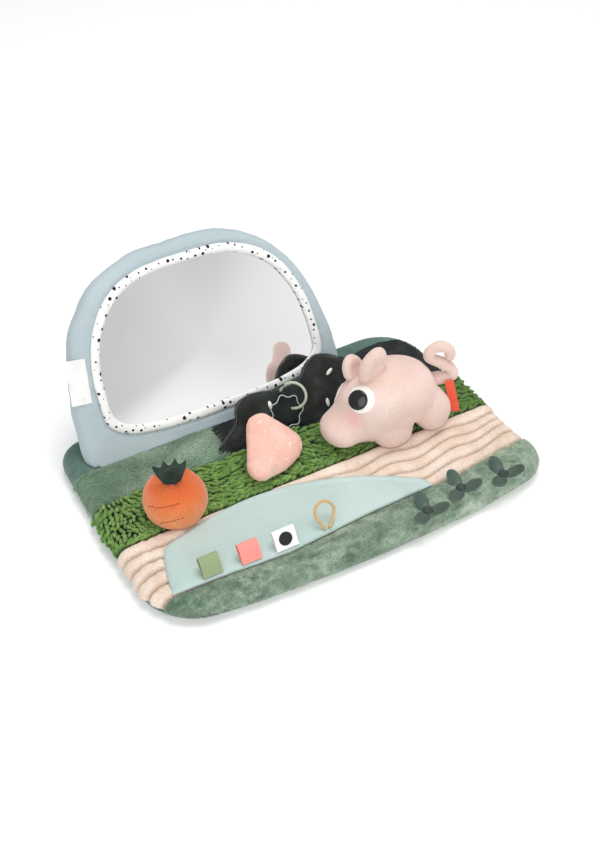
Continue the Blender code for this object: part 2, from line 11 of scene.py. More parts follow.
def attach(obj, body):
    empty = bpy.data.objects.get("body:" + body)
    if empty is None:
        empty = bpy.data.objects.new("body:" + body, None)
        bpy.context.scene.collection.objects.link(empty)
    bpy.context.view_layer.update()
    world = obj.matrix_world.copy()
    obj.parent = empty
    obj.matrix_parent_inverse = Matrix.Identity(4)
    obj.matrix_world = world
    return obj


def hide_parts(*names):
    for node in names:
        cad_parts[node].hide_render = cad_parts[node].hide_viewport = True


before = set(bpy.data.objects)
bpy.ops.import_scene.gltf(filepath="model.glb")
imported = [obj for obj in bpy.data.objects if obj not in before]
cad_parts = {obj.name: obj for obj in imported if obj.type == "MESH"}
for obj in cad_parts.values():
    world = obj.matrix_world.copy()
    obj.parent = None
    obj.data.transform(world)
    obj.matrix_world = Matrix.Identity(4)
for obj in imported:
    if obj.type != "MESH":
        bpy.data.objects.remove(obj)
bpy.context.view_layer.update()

# The shapes below are worked out in millimetres in the mat's own frame, which sits at SHIFT in the row frame.
MM = 0.001
SHIFT = np.array([-3.11, -29.5, 0.0])

# ----------------------------------------------------------------------------
# camera, light and floor
# ----------------------------------------------------------------------------
AZ, EL, DIST = math.radians(-30.0), math.radians(41.4), 1.122
BACK = Vector((math.sin(AZ) * math.cos(EL), -math.cos(AZ) * math.cos(EL), math.sin(EL)))
target = Vector((0.033 + SHIFT[0] * MM, 0.059 + SHIFT[1] * MM, 0.0))
cam_data = bpy.data.cameras.new("camera")
cam_data.lens = 1206.0 / 850.0 * 36.0
cam_data.sensor_width = 36.0
cam_data.clip_start, cam_data.clip_end = 0.05, 60.0
camera = bpy.data.objects.new("camera", cam_data)
bpy.context.scene.collection.objects.link(camera)
camera.location = target + BACK * DIST
camera.rotation_mode = "QUATERNION"
camera.rotation_quaternion = (-BACK).to_track_quat("-Z", "Y")
bpy.context.scene.camera = camera
bpy.context.scene.view_settings.view_transform = "Standard"
bpy.context.scene.view_settings.look = "None"


def area_light(name, at, to, size, power, colour=(1, 1, 1)):
    data = bpy.data.lights.new(name, "AREA")
    data.shape = "DISK"
    data.size = size
    data.energy = power
    data.color = colour
    ob = bpy.data.objects.new(name, data)
    bpy.context.scene.collection.objects.link(ob)
    ob.location = at
    ob.rotation_mode = "QUATERNION"
    ob.rotation_quaternion = (Vector(to) - Vector(at)).to_track_quat("-Z", "Y")
    return ob


area_light("key", (0.30, 0.10, 1.6), (0.0, 0.0, 0.0), 1.1, 14.0)
low_front = area_light("low_front", (0.15, -1.5, 0.6), (0.0, 0.0, 0.05), 1.0, 3.5)
low_front.visible_glossy = False
area_light("fill", (-1.2, -1.1, 1.1), (0.0, 0.0, 0.05), 1.2, 6.5)

# the studio round the toy: paler at the left and overhead, a broad bright card in front that the mirror shows
world = bpy.data.worlds.new("studio")
bpy.context.scene.world = world
world.use_nodes = True
wt = world.node_tree
w_bg = wt.nodes["Background"]


def w_node(kind, **settings):
    n = wt.nodes.new(kind)
    for k, v in settings.items():
        setattr(n, k, v)
    return n


w_co = w_node("ShaderNodeTexCoord")
w_sep = w_node("ShaderNodeSeparateXYZ")
w_slope = w_node("ShaderNodeMath", operation="MULTIPLY_ADD")
w_slope.inputs[1].default_value = -2.2
w_tone = w_node("ShaderNodeMapRange")
for k, v in enumerate((-0.43, -0.13, 0.62, 0.97), 1):
    w_tone.inputs[k].default_value = v
w_card = w_node("ShaderNodeMapRange")
for k, v in enumerate((-0.74, -0.52, 1.0, 0.56), 1):
    w_card.inputs[k].default_value = v
w_both = w_node("ShaderNodeMath", operation="MULTIPLY")
wt.links.new(w_co.outputs["Generated"], w_sep.inputs[0])
wt.links.new(w_sep.outputs["X"], w_slope.inputs[0])
wt.links.new(w_sep.outputs["Z"], w_slope.inputs[2])
wt.links.new(w_slope.outputs[0], w_tone.inputs[0])
wt.links.new(w_sep.outputs["Y"], w_card.inputs[0])
wt.links.new(w_tone.outputs[0], w_both.inputs[0])
wt.links.new(w_card.outputs[0], w_both.inputs[1])
wt.links.new(w_both.outputs[0], w_bg.inputs["Color"])
w_bg.inputs["Strength"].default_value = 1.0


# ----------------------------------------------------------------------------
# materials
# ----------------------------------------------------------------------------
def lin(rgb):
    return tuple(((c / 255.0) / 12.92 if c <= 10.3 else ((c / 255.0 + 0.055) / 1.055) ** 2.4) for c in rgb) + (1.0,)


class Mat:
    """A Principled material with short calls for its nodes."""

    def __init__(self, name, colour, rough=0.9, metal=0.0, sheen=0.0, sheen_rough=0.5, spec=0.3):
        self.m = bpy.data.materials.new(name)
        self.m.use_nodes = True
        self.nt = self.m.node_tree
        self.b = self.nt.nodes["Principled BSDF"]
        self.b.inputs["Base Color"].default_value = lin(colour)
        self.b.inputs["Roughness"].default_value = rough
        self.b.inputs["Metallic"].default_value = metal
        self.b.inputs["Specular IOR Level"].default_value = spec
        self.b.inputs["Sheen Weight"].default_value = sheen
        self.b.inputs["Sheen Roughness"].default_value = sheen_rough
        self.co = self.nt.nodes.new("ShaderNodeTexCoord")
        self.m.diffuse_color = lin(colour)

    def node(self, kind, **settings):
        n = self.nt.nodes.new(kind)
        for k, v in settings.items():
            setattr(n, k, v)
        return n

    def link(self, a, b):
        self.nt.links.new(a, b)

    def vec(self, scale=(1, 1, 1), rot=(0, 0, 0), loc=(0, 0, 0), source="Object"):
        n = self.node("ShaderNodeMapping")
        n.inputs["Scale"].default_value = scale
        n.inputs["Rotation"].default_value = rot
        n.inputs["Location"].default_value = loc
        self.link(self.co.outputs[source], n.inputs["Vector"])
        return n.outputs[0]

    def noise(self, scale, detail=2.0, rough=0.5, vec=None, distort=0.0):
        n = self.node("ShaderNodeTexNoise")
        n.inputs["Scale"].default_value = scale
        n.inputs["Detail"].default_value = detail
        n.inputs["Roughness"].default_value = rough
        n.inputs["Distortion"].default_value = distort
        self.link(vec if vec is not None else self.co.outputs["Object"], n.inputs["Vector"])
        return n.outputs[0]

    def ramp(self, fac, stops):
        n = self.node("ShaderNodeValToRGB")
        e = n.color_ramp.elements
        while len(e) < len(stops):
            e.new(0.5)
        for k, (p, c) in enumerate(stops):
            e[k].position = p
            e[k].color = lin(c) if len(c) == 3 else (c[0],) * 3 + (1,)
        self.link(fac, n.inputs[0])
        return n.outputs[0]

    def mix(self, fac, a, b, mode="MIX"):
        n = self.node("ShaderNodeMix", data_type="RGBA", blend_type=mode)
        for sock, v in ((n.inputs[0], fac), (n.inputs[6], a), (n.inputs[7], b)):
            if isinstance(v, (int, float)):
                sock.default_value = v
            elif isinstance(v, tuple):
                sock.default_value = lin(v)
            else:
                self.link(v, sock)
        return n.outputs[2]

    def math(self, op, a, b=0.0, c=0.0, clamp=False):
        n = self.node("ShaderNodeMath", operation=op, use_clamp=clamp)
        for sock, v in zip(n.inputs, (a, b, c)):
            if isinstance(v, (int, float)):
                sock.default_value = v
            else:
                self.link(v, sock)
        return n.outputs[0]

    def xyz(self, vec=None):
        n = self.node("ShaderNodeSeparateXYZ")
        self.link(vec if vec is not None else self.co.outputs["Object"], n.inputs[0])
        return n.outputs

    def attribute(self, name):
        n = self.node("ShaderNodeAttribute", attribute_name=name)
        return n.outputs["Fac"]

    def distance(self, point):
        """Distance in metres from a point of the row frame."""
        n = self.node("ShaderNodeVectorMath", operation="DISTANCE")
        n.inputs[1].default_value = point
        self.link(self.co.outputs["Object"], n.inputs[0])
        return n.outputs["Value"]

    def colour(self, socket):
        self.link(socket, self.b.inputs["Base Color"])

    def bump(self, height, strength=0.5, depth=0.001):
        n = self.node("ShaderNodeBump")
        n.inputs["Strength"].default_value = strength
        n.inputs["Distance"].default_value = depth
        self.link(height, n.inputs["Height"])
        old = self.b.inputs["Normal"].links
        if old:
            self.link(old[0].from_socket, n.inputs["Normal"])
        self.link(n.outputs[0], self.b.inputs["Normal"])


def velour(name, dark, mid, light, patch=60.0, nap=(1, 1, 1), nap_scale=900.0, sheen=0.35, rough=0.95, depth=0.0006,
           grain=178):
    """Short pile: soft patches where the pile leans another way, and a fine grain."""
    s = Mat(name, mid, rough, sheen=sheen)
    big = s.noise(patch, 3.0, 0.55, distort=0.4)
    fine = s.noise(nap_scale, 2.0, 0.6, vec=s.vec(scale=nap))
    c = s.ramp(big, [(0.30, dark), (0.52, mid), (0.72, light)])
    grain = s.ramp(fine, [(0.25, (grain,) * 3), (0.55, (255, 255, 255)), (0.8, (255, 255, 255))])
    s.colour(s.mix(0.75, c, grain, "MULTIPLY"))
    s.bump(fine, 0.55, depth)
    return s


M = {}
M["cover"] = velour("cover_green", (70, 98, 88), (84, 115, 104), (102, 134, 121), patch=40).m
M["dark"] = velour("dark_plush", (30, 33, 34), (40, 44, 45), (60, 66, 66), patch=45, nap_scale=800, sheen=0.12).m
M["grass_base"] = velour("grass_backing", (48, 76, 34), (62, 94, 44), (74, 108, 52), patch=90).m


def grass_material():
    s = Mat("grass_chenille", (112, 152, 72), 0.9, sheen=0.25)
    n = s.noise(120.0, 2.0)
    fine = s.noise(1500.0, 2.0)
    big = s.noise(22.0, 2.0)
    c = s.ramp(n, [(0.30, (100, 142, 62)), (0.5, (122, 164, 78)), (0.72, (150, 190, 102))])
    c = s.mix(s.math("MULTIPLY", big, 0.4), c, (108, 150, 68))
    right = s.math("MULTIPLY_ADD", s.xyz()[0], 4.0, 0.3, clamp=True)
    c = s.mix(s.math("MULTIPLY", right, 0.45), c, (76, 106, 44))
    # painted shade: the chenille strands darken towards their roots, where they shade each other
    root_shade = s.math("MULTIPLY_ADD", s.attribute("tip"), -1.7, 1.0, clamp=True)
    c = s.mix(s.math("MULTIPLY", root_shade, 0.92), c, (44, 70, 32))
    s.colour(s.mix(0.6, c, s.ramp(fine, [(0.3, (176, 176, 176)), (0.6, (255, 255, 255))]), "MULTIPLY"))
    s.bump(fine, 0.9, 0.0006)
    return s.m


def cord_material():
    s = Mat("wide_wale_cord", (236, 217, 200), 0.95, sheen=0.3)
    n = s.noise(45.0, 3.0)
    fine = s.noise(900.0, 3.0, 0.65, vec=s.vec(scale=(0.5, 1.2, 1.2)))
    c = s.ramp(n, [(0.30, (226, 203, 184)), (0.5, (238, 219, 203)), (0.7, (245, 231, 218))])
    # darker in the grooves between the wales and in the hollows of the gathered left end: partly the shorter pile's own
    # tone, partly painted shade
    c = s.mix(s.math("MULTIPLY", s.attribute("groove_tone_and_shade"), 0.72), c, (182, 156, 132))
    s.colour(s.mix(0.6, c, s.ramp(fine, [(0.28, (212, 199, 187)), (0.6, (255, 255, 255))]), "MULTIPLY"))
    s.bump(fine, 0.7, 0.0006)
    return s.m


def velvet_material():
    s = Mat("marbled_velvet", (138, 158, 138), 0.9, sheen=0.45, sheen_rough=0.45)
    marble = s.noise(24.0, 4.0, 0.62, vec=s.vec(scale=(0.8, 1.5, 1.5)), distort=1.3)
    small = s.noise(120.0, 3.0, 0.6, distort=0.8)
    fine = s.noise(1000.0, 3.0, 0.65)
    mixed = s.math("ADD", s.math("MULTIPLY", marble, 0.66), s.math("MULTIPLY", small, 0.34))
    # painted light: the velvet grows paler towards its right end, as if lit from the right front
    mixed = s.math("MULTIPLY_ADD", s.xyz()[0], 0.30, mixed)
    c = s.ramp(mixed, [(0.36, (92, 118, 99)), (0.46, (124, 149, 126)), (0.55, (156, 178, 155)), (0.68, (190, 208, 187))])
    s.colour(s.mix(0.8, c, s.ramp(fine, [(0.3, (188, 188, 188)), (0.6, (255, 255, 255))]), "MULTIPLY"))
    s.bump(s.noise(160.0, 2.0), 0.25, 0.001)
    s.bump(fine, 0.7, 0.0006)
    return s.m


def sage_material():
    """Long nap that lies over to the right, with a paler slanting band: a painted sheen where the nap would lean
    towards the light.
    """
    s = Mat("sage_plush", (136, 168, 140), 0.9, sheen=0.45)
    big = s.noise(26.0, 3.0, 0.55, distort=0.6)
    x, y, z = s.xyz()
    # the painted sheen band climbs slowly from the front left to the rear right of the panel
    slant = s.math("ADD", s.math("MULTIPLY", x, -44.0), s.math("MULTIPLY", y, 111.0))
    sheen_band = s.math("MULTIPLY_ADD", s.math("ABSOLUTE", s.math("ADD", slant, -6.7)), -0.7, 0.9, clamp=True)
    level = s.math("ADD", big, s.math("MULTIPLY", sheen_band, 0.27))
    fine = s.noise(700.0, 2.0, 0.6, vec=s.vec(scale=(0.24, 1.3, 1.3)))
    c = s.ramp(level, [(0.34, (124, 162, 130)), (0.50, (156, 196, 160)), (0.62, (180, 216, 183)), (0.78, (210, 236, 210))])
    # painted shade: the nap darkens towards the roots of its strands
    tip = s.math("MULTIPLY_ADD", s.attribute("tip"), 0.45, 0.62, clamp=True)
    c = s.mix(1.0, c, s.ramp(tip, [(0.6, (168, 176, 168)), (1.0, (255, 255, 255))]), "MULTIPLY")
    s.colour(s.mix(0.75, c, s.ramp(fine, [(0.25, (182, 182, 182)), (0.55, (255, 255, 255))]), "MULTIPLY"))
    s.bump(fine, 0.55, 0.0006)
    return s.m


def weave(s, period=0.0007, strength=0.25):
    """Plain weave: two crossing sets of fine threads in all three directions of the row frame."""
    x, y, z = s.xyz()
    k = 2 * math.pi / period
    a = s.math("SINE", s.math("MULTIPLY", x, k))
    b = s.math("SINE", s.math("MULTIPLY", s.math("ADD", s.math("MULTIPLY", y, 0.6), z), k))
    s.bump(s.math("MULTIPLY", a, b), strength, 0.0002)


def frame_material():
    s = Mat("pale_blue_cotton", (196, 212, 217), 0.85, sheen=0.15)
    n = s.noise(14.0, 3.0)
    fine = s.noise(900.0, 2.0)
    c = s.ramp(n, [(0.3, (173, 189, 194)), (0.6, (181, 196, 201)), (0.8, (187, 201, 205))])
    s.colour(s.mix(0.35, c, s.ramp(fine, [(0.3, (226, 226, 226)), (0.6, (255, 255, 255))]), "MULTIPLY"))
    weave(s)
    s.bump(s.noise(70.0, 2.0), 0.2, 0.0012)
    return s.m


def satin_material():
    s = Mat("mint_satin", (200, 222, 217), 0.55, sheen=0.2, spec=0.4)
    n = s.noise(16.0, 3.0)
    fine = s.noise(1200.0, 2.0, vec=s.vec(scale=(0.4, 1.4, 1.0)))
    c = s.ramp(n, [(0.3, (184, 206, 201)), (0.6, (193, 213, 208)), (0.8, (199, 218, 213))])
    s.colour(s.mix(0.35, c, s.ramp(fine, [(0.3, (224, 224, 224)), (0.6, (255, 255, 255))]), "MULTIPLY"))
    weave(s, 0.0009, 0.3)
    s.bump(s.noise(60.0, 2.0), 0.15, 0.001)
    return s.m


def mirror_material():
    s = Mat("mirror_film", (247, 247, 247), 0.02, metal=1.0)
    s.bump(s.noise(9.0, 2.0), 0.10, 0.002)
    # the film's shading normals tilt so that it reflects as if it faced a little higher than its frame
    x, y, z = s.xyz()
    up_ = s.math("ADD", s.math("MULTIPLY", y, 0.515), s.math("MULTIPLY", z, 0.857))
    s.bump(s.math("MULTIPLY", up_, -0.035), 1.0, 1.0)
    return s.m


def dots_material():
    """White cotton with small round dots of mixed sizes."""
    s = Mat("speckled_binding", (243, 243, 241), 0.9, sheen=0.1)
    x, y, z = s.xyz()
    flat = s.node("ShaderNodeCombineXYZ")
    s.link(x, flat.inputs[0])
    s.link(s.math("MULTIPLY", z, 1.167), flat.inputs[1])
    v = s.node("ShaderNodeTexVoronoi", voronoi_dimensions="2D", feature="F1")
    v.inputs["Scale"].default_value = 150.0
    v.inputs["Randomness"].default_value = 0.8
    s.link(flat.outputs[0], v.inputs["Vector"])
    r = s.node("ShaderNodeSeparateColor")
    s.link(v.outputs["Color"], r.inputs[0])
    size = s.math("MULTIPLY_ADD", s.math("MULTIPLY", r.outputs[0], r.outputs[0]), 0.20, 0.08)
    near = s.math("SUBTRACT", size, v.outputs["Distance"])
    dot = s.math("MULTIPLY", near, 40.0, clamp=True)
    fine = s.noise(1500.0, 2.0)
    white = s.mix(0.35, (243, 243, 241), s.ramp(fine, [(0.3, (224, 224, 224)), (0.6, (255, 255, 255))]), "MULTIPLY")
    s.colour(s.mix(dot, white, (30, 31, 33)))
    weave(s)
    return s.m


def plain_fabric(name, colour, rough=0.85, grain=1500.0, depth=0.0003, sheen=0.1, vary=0.06):
    s = Mat(name, colour, rough, sheen=sheen)
    n = s.noise(60.0, 2.0)
    lo, hi = tuple(c * (1 - vary) for c in colour), tuple(min(255, c * (1 + vary)) for c in colour)
    fine = s.noise(grain, 2.0)
    c = s.ramp(n, [(0.3, lo), (0.7, hi)])
    s.colour(s.mix(0.4, c, s.ramp(fine, [(0.3, (205, 205, 205)), (0.6, (255, 255, 255))]), "MULTIPLY"))
    s.bump(fine, 0.5, depth)
    return s.m


def grosgrain(name, colour, dot=None):
    """Ribbon with fine ribs across it; a black dot if dot is its radius as a share of the width."""
    s = Mat(name, colour, 0.7, sheen=0.15, spec=0.35)
    u = s.xyz(s.co.outputs["UV"])
    ribs = s.math("SINE", s.math("MULTIPLY", u[1], 2 * math.pi * 40))
    shade = s.ramp(s.math("MULTIPLY_ADD", ribs, 0.5, 0.5), [(0.0, (226, 226, 226)), (0.6, (255, 255, 255))])
    c = s.mix(0.45, tuple(colour), shade, "MULTIPLY")
    if dot:
        du = s.math("MULTIPLY", s.math("SUBTRACT", u[0], 0.5), 1.0)
        dv = s.math("MULTIPLY", s.math("SUBTRACT", u[1], dot[1]), dot[2])
        r = s.math("SQRT", s.math("ADD", s.math("MULTIPLY", du, du), s.math("MULTIPLY", dv, dv)))
        inside = s.math("MULTIPLY", s.math("SUBTRACT", dot[0], r), 60.0, clamp=True)
        c = s.mix(inside, c, (34, 35, 37))
    s.colour(c)
    s.bump(ribs, 0.4, 0.0002)
    return s.m


M["grass"] = grass_material()
M["cord"] = cord_material()
M["velvet"] = velvet_material()
M["sage"] = sage_material()
M["frame"] = frame_material()
M["satin"] = satin_material()
M["mirror"] = mirror_material()
M["dots"] = dots_material()
M["label"] = plain_fabric("white_label", (243, 243, 241), grain=1200)
M["tag"] = plain_fabric("red_tag", (250, 100, 74), grain=1200)
M["felt"] = plain_fabric("dark_felt", (35, 54, 46), 0.98, 700, 0.0006, 0.2, 0.25)
M["coral"] = velour("coral_plush", (241, 181, 165), (247, 194, 178), (250, 206, 192), patch=35, nap_scale=1000,
                    sheen=0.3, depth=0.0006, grain=212).m
M["wadding"] = plain_fabric("wadding", (235, 235, 228))
M["board"] = plain_fabric("board", (180, 175, 165))
M["tick"] = plain_fabric("white_stitch", (250, 246, 238), 0.6)
M["coral_tick"] = plain_fabric("pale_stitch", (255, 232, 222), 0.6)
M["carrot_thread"] = plain_fabric("rust_stitch", (150, 62, 24), 0.7)
M["ribbon_green"] = grosgrain("green_ribbon", (152, 170, 127))
M["ribbon_coral"] = grosgrain("coral_ribbon", (254, 156, 146))
M["ribbon_white"] = grosgrain("white_ribbon", (250, 250, 248), dot=(0.31, 0.77, 1.9))


def carrot_material():
    s = Mat("orange_velour", (240, 125, 62), 0.95, sheen=0.35)
    big = s.noise(45.0, 3.0, distort=0.5)
    z = s.xyz()[2]
    high = s.math("MULTIPLY_ADD", z, 45.0, -1.75, clamp=True)
    fine = s.noise(1100.0, 2.0, 0.6)
    c = s.ramp(big, [(0.3, (232, 134, 78)), (0.55, (239, 147, 90)), (0.75, (243, 157, 101))])
    c = s.mix(s.math("MULTIPLY", high, 0.95), c, (219, 92, 30))
    s.colour(s.mix(0.7, c, s.ramp(fine, [(0.3, (206, 206, 206)), (0.6, (255, 255, 255))]), "MULTIPLY"))
    s.bump(fine, 0.5, 0.0005)
    return s.m


M["carrot"] = carrot_material()


# ----------------------------------------------------------------------------
# numpy helpers
# ----------------------------------------------------------------------------
def _hash(i, j, k, seed):
    h = (i * 73856093) ^ (j * 19349663) ^ (k * 83492791) ^ (seed * 2654435761)
    h = ((h ^ (h >> 13)) * 1274126177) & 0xFFFFFFFF
    return ((h ^ (h >> 16)) & 0xFFFFFF) / float(0xFFFFFF)


def vnoise(p, seed=0):
    """Smooth value noise in -1..1 at the points p."""
    p = np.asarray(p, float)
    i = np.floor(p).astype(np.int64)
    f = p - i
    f = f * f * f * (f * (f * 6 - 15) + 10)
    out = np.zeros(len(p))
    for dx in (0, 1):
        for dy in (0, 1):
            for dz in (0, 1):
                w = ((f[:, 0] if dx else 1 - f[:, 0]) * (f[:, 1] if dy else 1 - f[:, 1])
                     * (f[:, 2] if dz else 1 - f[:, 2]))
                out += w * _hash(i[:, 0] + dx, i[:, 1] + dy, i[:, 2] + dz, seed)
    return out * 2 - 1


def fbm(p, size, octaves=3, seed=0, stretch=(1, 1, 1), gain=0.5):
    p = np.asarray(p, float) / (np.array(stretch, float) * size)
    out, amp, total = np.zeros(len(p)), 1.0, 0.0
    for o in range(octaves):
        out += amp * vnoise(p * 2 ** o + 17.3 * o, seed + o)
        total += amp
        amp *= gain
    return out / total


def step(a, b, x):
    t = np.clip((np.asarray(x, float) - a) / (b - a), 0, 1)
    return t * t * (3 - 2 * t)


def raw_mesh(name, V, F):
    me = bpy.data.meshes.new(name)
    me.from_pydata(np.asarray(V, float).tolist(), [], [tuple(int(i) for i in f) for f in F])
    me.update()
    return me


def volume(V, F):
    V = np.asarray(V, float)
    total = 0.0
    if isinstance(F, np.ndarray):
        for k in range(1, F.shape[1] - 1):
            total += (V[F[:, 0]] * np.cross(V[F[:, k]], V[F[:, k + 1]])).sum()
        return total / 6
    for f in F:
        for k in range(1, len(f) - 1):
            total += V[f[0]].dot(np.cross(V[f[k]], V[f[k + 1]]))
    return total / 6


def outward(V, F):
    if volume(V, F) < 0:
        return F[:, ::-1] if isinstance(F, np.ndarray) else [tuple(reversed(f)) for f in F]
    return F


def put(name, V, F, mat, body, replaces=(), smooth=True, uv=None, sharp=None, values=None):
    """A new piece from points in the mat's frame, in millimetres. values are named numbers for each point."""
    me = raw_mesh(name, (np.asarray(V, float) + SHIFT) * MM, F)
    for m in (mat if isinstance(mat, (list, tuple)) else [mat]):
        me.materials.append(m)
    if smooth:
        me.shade_smooth()
        if sharp:
            me.set_sharp_from_angle(angle=math.radians(sharp))
    if uv is not None:
        layer = me.uv_layers.new(name="UVMap")
        idx = np.zeros(len(me.loops), np.int32)
        me.loops.foreach_get("vertex_index", idx)
        layer.data.foreach_set("uv", np.asarray(uv, np.float32)[idx].ravel())
    for key, numbers in (values or {}).items():
        me.attributes.new(key, "FLOAT", "POINT").data.foreach_set("value", np.asarray(numbers, np.float32))
    ob = bpy.data.objects.new(name, me)
    bpy.context.scene.collection.objects.link(ob)
    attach(ob, body)
    if replaces:
        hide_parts(*replaces)
    return ob


def voxel(V, F, size):
    """The same solid as an even quad mesh."""
    me = raw_mesh("tmp", V, F)
    ob = bpy.data.objects.new("tmp", me)
    bpy.context.scene.collection.objects.link(ob)
    mod = ob.modifiers.new("r", "REMESH")
    mod.mode = "VOXEL"
    mod.voxel_size = size
    e = ob.evaluated_get(bpy.context.evaluated_depsgraph_get())
    n = e.to_mesh()
    co = np.zeros(len(n.vertices) * 3, np.float32)
    n.vertices.foreach_get("co", co)
    idx = np.zeros(len(n.loops), np.int32)
    n.loops.foreach_get("vertex_index", idx)
    e.to_mesh_clear()
    bpy.data.objects.remove(ob)
    bpy.data.meshes.remove(me)
    return co.reshape(-1, 3).astype(float), idx.reshape(-1, 4).astype(int)


def edges_of(F):
    k = F.shape[1]
    e = np.concatenate([F[:, [i, (i + 1) % k]] for i in range(k)])
    return np.unique(np.sort(e, axis=1), axis=0)


def relax(V, F, n=5, lam=0.5, mask=None):
    e = edges_of(F)
    count = np.bincount(e.ravel(), minlength=len(V)).astype(float)
    V = V.copy()
    for _ in range(n):
        s = np.stack([np.bincount(e[:, 0], V[e[:, 1], a], len(V)) + np.bincount(e[:, 1], V[e[:, 0], a], len(V))
                      for a in range(3)], axis=1)
        d = lam * (s / count[:, None] - V)
        V += d if mask is None else d * mask[:, None]
    return V


def normals(V, F):
    if F.shape[1] == 4:
        n = np.cross(V[F[:, 2]] - V[F[:, 0]], V[F[:, 3]] - V[F[:, 1]])
    else:
        n = np.cross(V[F[:, 1]] - V[F[:, 0]], V[F[:, 2]] - V[F[:, 0]])
    out = np.stack([sum(np.bincount(F[:, k], n[:, a], len(V)) for k in range(F.shape[1])) for a in range(3)], axis=1)
    return out / np.maximum(np.linalg.norm(out, axis=1), 1e-12)[:, None]


def loft(rings, closed=True, cap=True):
    """Quads between rings of points; the ends are closed by one face each."""
    rings = np.asarray(rings, float)
    R, N = rings.shape[:2]
    F = []
    for i in range(R - 1):
        for j in range(N if closed else N - 1):
            k = (j + 1) % N
            F.append((i * N + j, i * N + k, (i + 1) * N + k, (i + 1) * N + j))
    if cap:
        F.append(tuple(range(N))[::-1])
        F.append(tuple((R - 1) * N + j for j in range(N)))
    V = rings.reshape(-1, 3)
    return V, outward(V, F)


def smooth_loop(points, steps=4, closed=True):
    """Catmull-Rom through the control points."""
    n, out = len(points), []
    for i in range(n if closed else n - 1):
        p = [np.array(points[(i + k) % n] if closed else points[min(max(i + k, 0), n - 1)], float) for k in (-1, 0, 1, 2)]
        for s in range(steps):
            t = s / steps
            out.append(0.5 * ((2 * p[1]) + (-p[0] + p[2]) * t + (2 * p[0] - 5 * p[1] + 4 * p[2] - p[3]) * t * t
                              + (-p[0] + 3 * p[1] - 3 * p[2] + p[3]) * t ** 3))
    if not closed:
        out.append(np.array(points[-1], float))
    return np.array(out)


def tube_mesh(points, radius, sides=12, closed=False, flat=1.0):
    """A round tube along points; radius may be one number or one for each point."""
    P = np.asarray(points, float)
    n = len(P)
    radius = np.full(n, radius, float) if np.isscalar(radius) else np.asarray(radius, float)
    T = np.roll(P, -1, 0) - np.roll(P, 1, 0) if closed else np.gradient(P, axis=0)
    T /= np.linalg.norm(T, axis=1)[:, None]
    ref = np.array([0.0, 0.0, 1.0]) if abs(T[0][2]) < 0.9 else np.array([1.0, 0.0, 0.0])
    u = np.cross(T[0], ref)
    u /= np.linalg.norm(u)
    rings = []
    for i in range(n):
        u = u - T[i] * u.dot(T[i])
        u /= np.linalg.norm(u)
        v = np.cross(T[i], u)
        a = np.linspace(0, 2 * math.pi, sides, endpoint=False)
        rings.append(P[i] + radius[i] * (np.cos(a)[:, None] * u + flat * np.sin(a)[:, None] * v))
    if closed:
        R, N = n, sides
        F = [(i * N + j, i * N + (j + 1) % N, ((i + 1) % R) * N + (j + 1) % N, ((i + 1) % R) * N + j)
             for i in range(R) for j in range(N)]
        V = np.array(rings).reshape(-1, 3)
        return V, outward(V, F)
    return loft(rings)


def rounded_ends(points, radius, steps=4):
    """Radii and points of a tube whose ends are domes."""
    P = np.asarray(points, float)
    d0 = (P[0] - P[1]) / np.linalg.norm(P[0] - P[1])
    d1 = (P[-1] - P[-2]) / np.linalg.norm(P[-1] - P[-2])
    r = np.full(len(P), radius, float) if np.isscalar(radius) else np.asarray(radius, float)
    a = [math.radians(90.0 * k / steps) for k in range(1, steps + 1)]
    head = [P[0] + d0 * r[0] * math.sin(t) for t in a][::-1]
    tail = [P[-1] + d1 * r[-1] * math.sin(t) for t in a]
    rh = [max(0.12, r[0] * math.cos(t)) for t in a][::-1]
    rt = [max(0.12, r[-1] * math.cos(t)) for t in a]
    return np.array(head + list(P) + tail), np.array(rh + list(r) + rt)


def join(parts):
    """Several (V, F) as one."""
    V, F, base = [], [], 0
    for v, f in parts:
        V.append(np.asarray(v, float))
        F += [tuple(int(i) + base for i in g) for g in f]
        base += len(v)
    return np.concatenate(V), F


def lean_matrix(angle):
    """Columns are the leaning panel's x, thickness and upward directions in the mat's frame."""
    c, s = math.cos(angle), math.sin(angle)
    return np.array([[1, 0, 0], [0, c, s], [0, -s, c]])


def leaned(V, origin, angle):
    return np.asarray(V, float) @ lean_matrix(angle).T + np.array(origin, float)


def unleaned(V, origin, angle):
    return (np.asarray(V, float) - np.array(origin, float)) @ lean_matrix(angle)


def ell(P, c, r, rot=None):
    """Signed distance, nearly, to an ellipsoid; rot turns it (degrees about x, y, z)."""
    q = P - np.array(c, float)
    if rot is not None:
        R = np.array((Matrix.Rotation(math.radians(rot[2]), 3, "Z") @ Matrix.Rotation(math.radians(rot[1]), 3, "Y")
                      @ Matrix.Rotation(math.radians(rot[0]), 3, "X")))
        q = q @ R
    q = q / np.array(r, float)
    k0 = np.linalg.norm(q, axis=1)
    k1 = np.maximum(np.linalg.norm(q / np.array(r, float), axis=1), 1e-9)
    return k0 * (k0 - 1) / k1


def smin(a, b, k):
    h = np.clip(0.5 + 0.5 * (b - a) / k, 0, 1)
    return b * (1 - h) + a * h - k * h * (1 - h)


def settle(V, f, n=8, most=1.5):
    """Moves points onto the surface f = 0."""
    V = V.copy()
    for _ in range(n):
        d = f(V)
        g = np.stack([(f(V + np.eye(3)[a] * 0.05) - f(V - np.eye(3)[a] * 0.05)) / 0.1 for a in range(3)], axis=1)
        g2 = np.maximum((g * g).sum(1), 0.05)
        V -= g * np.clip(d / g2, -most, most)[:, None]
    return V


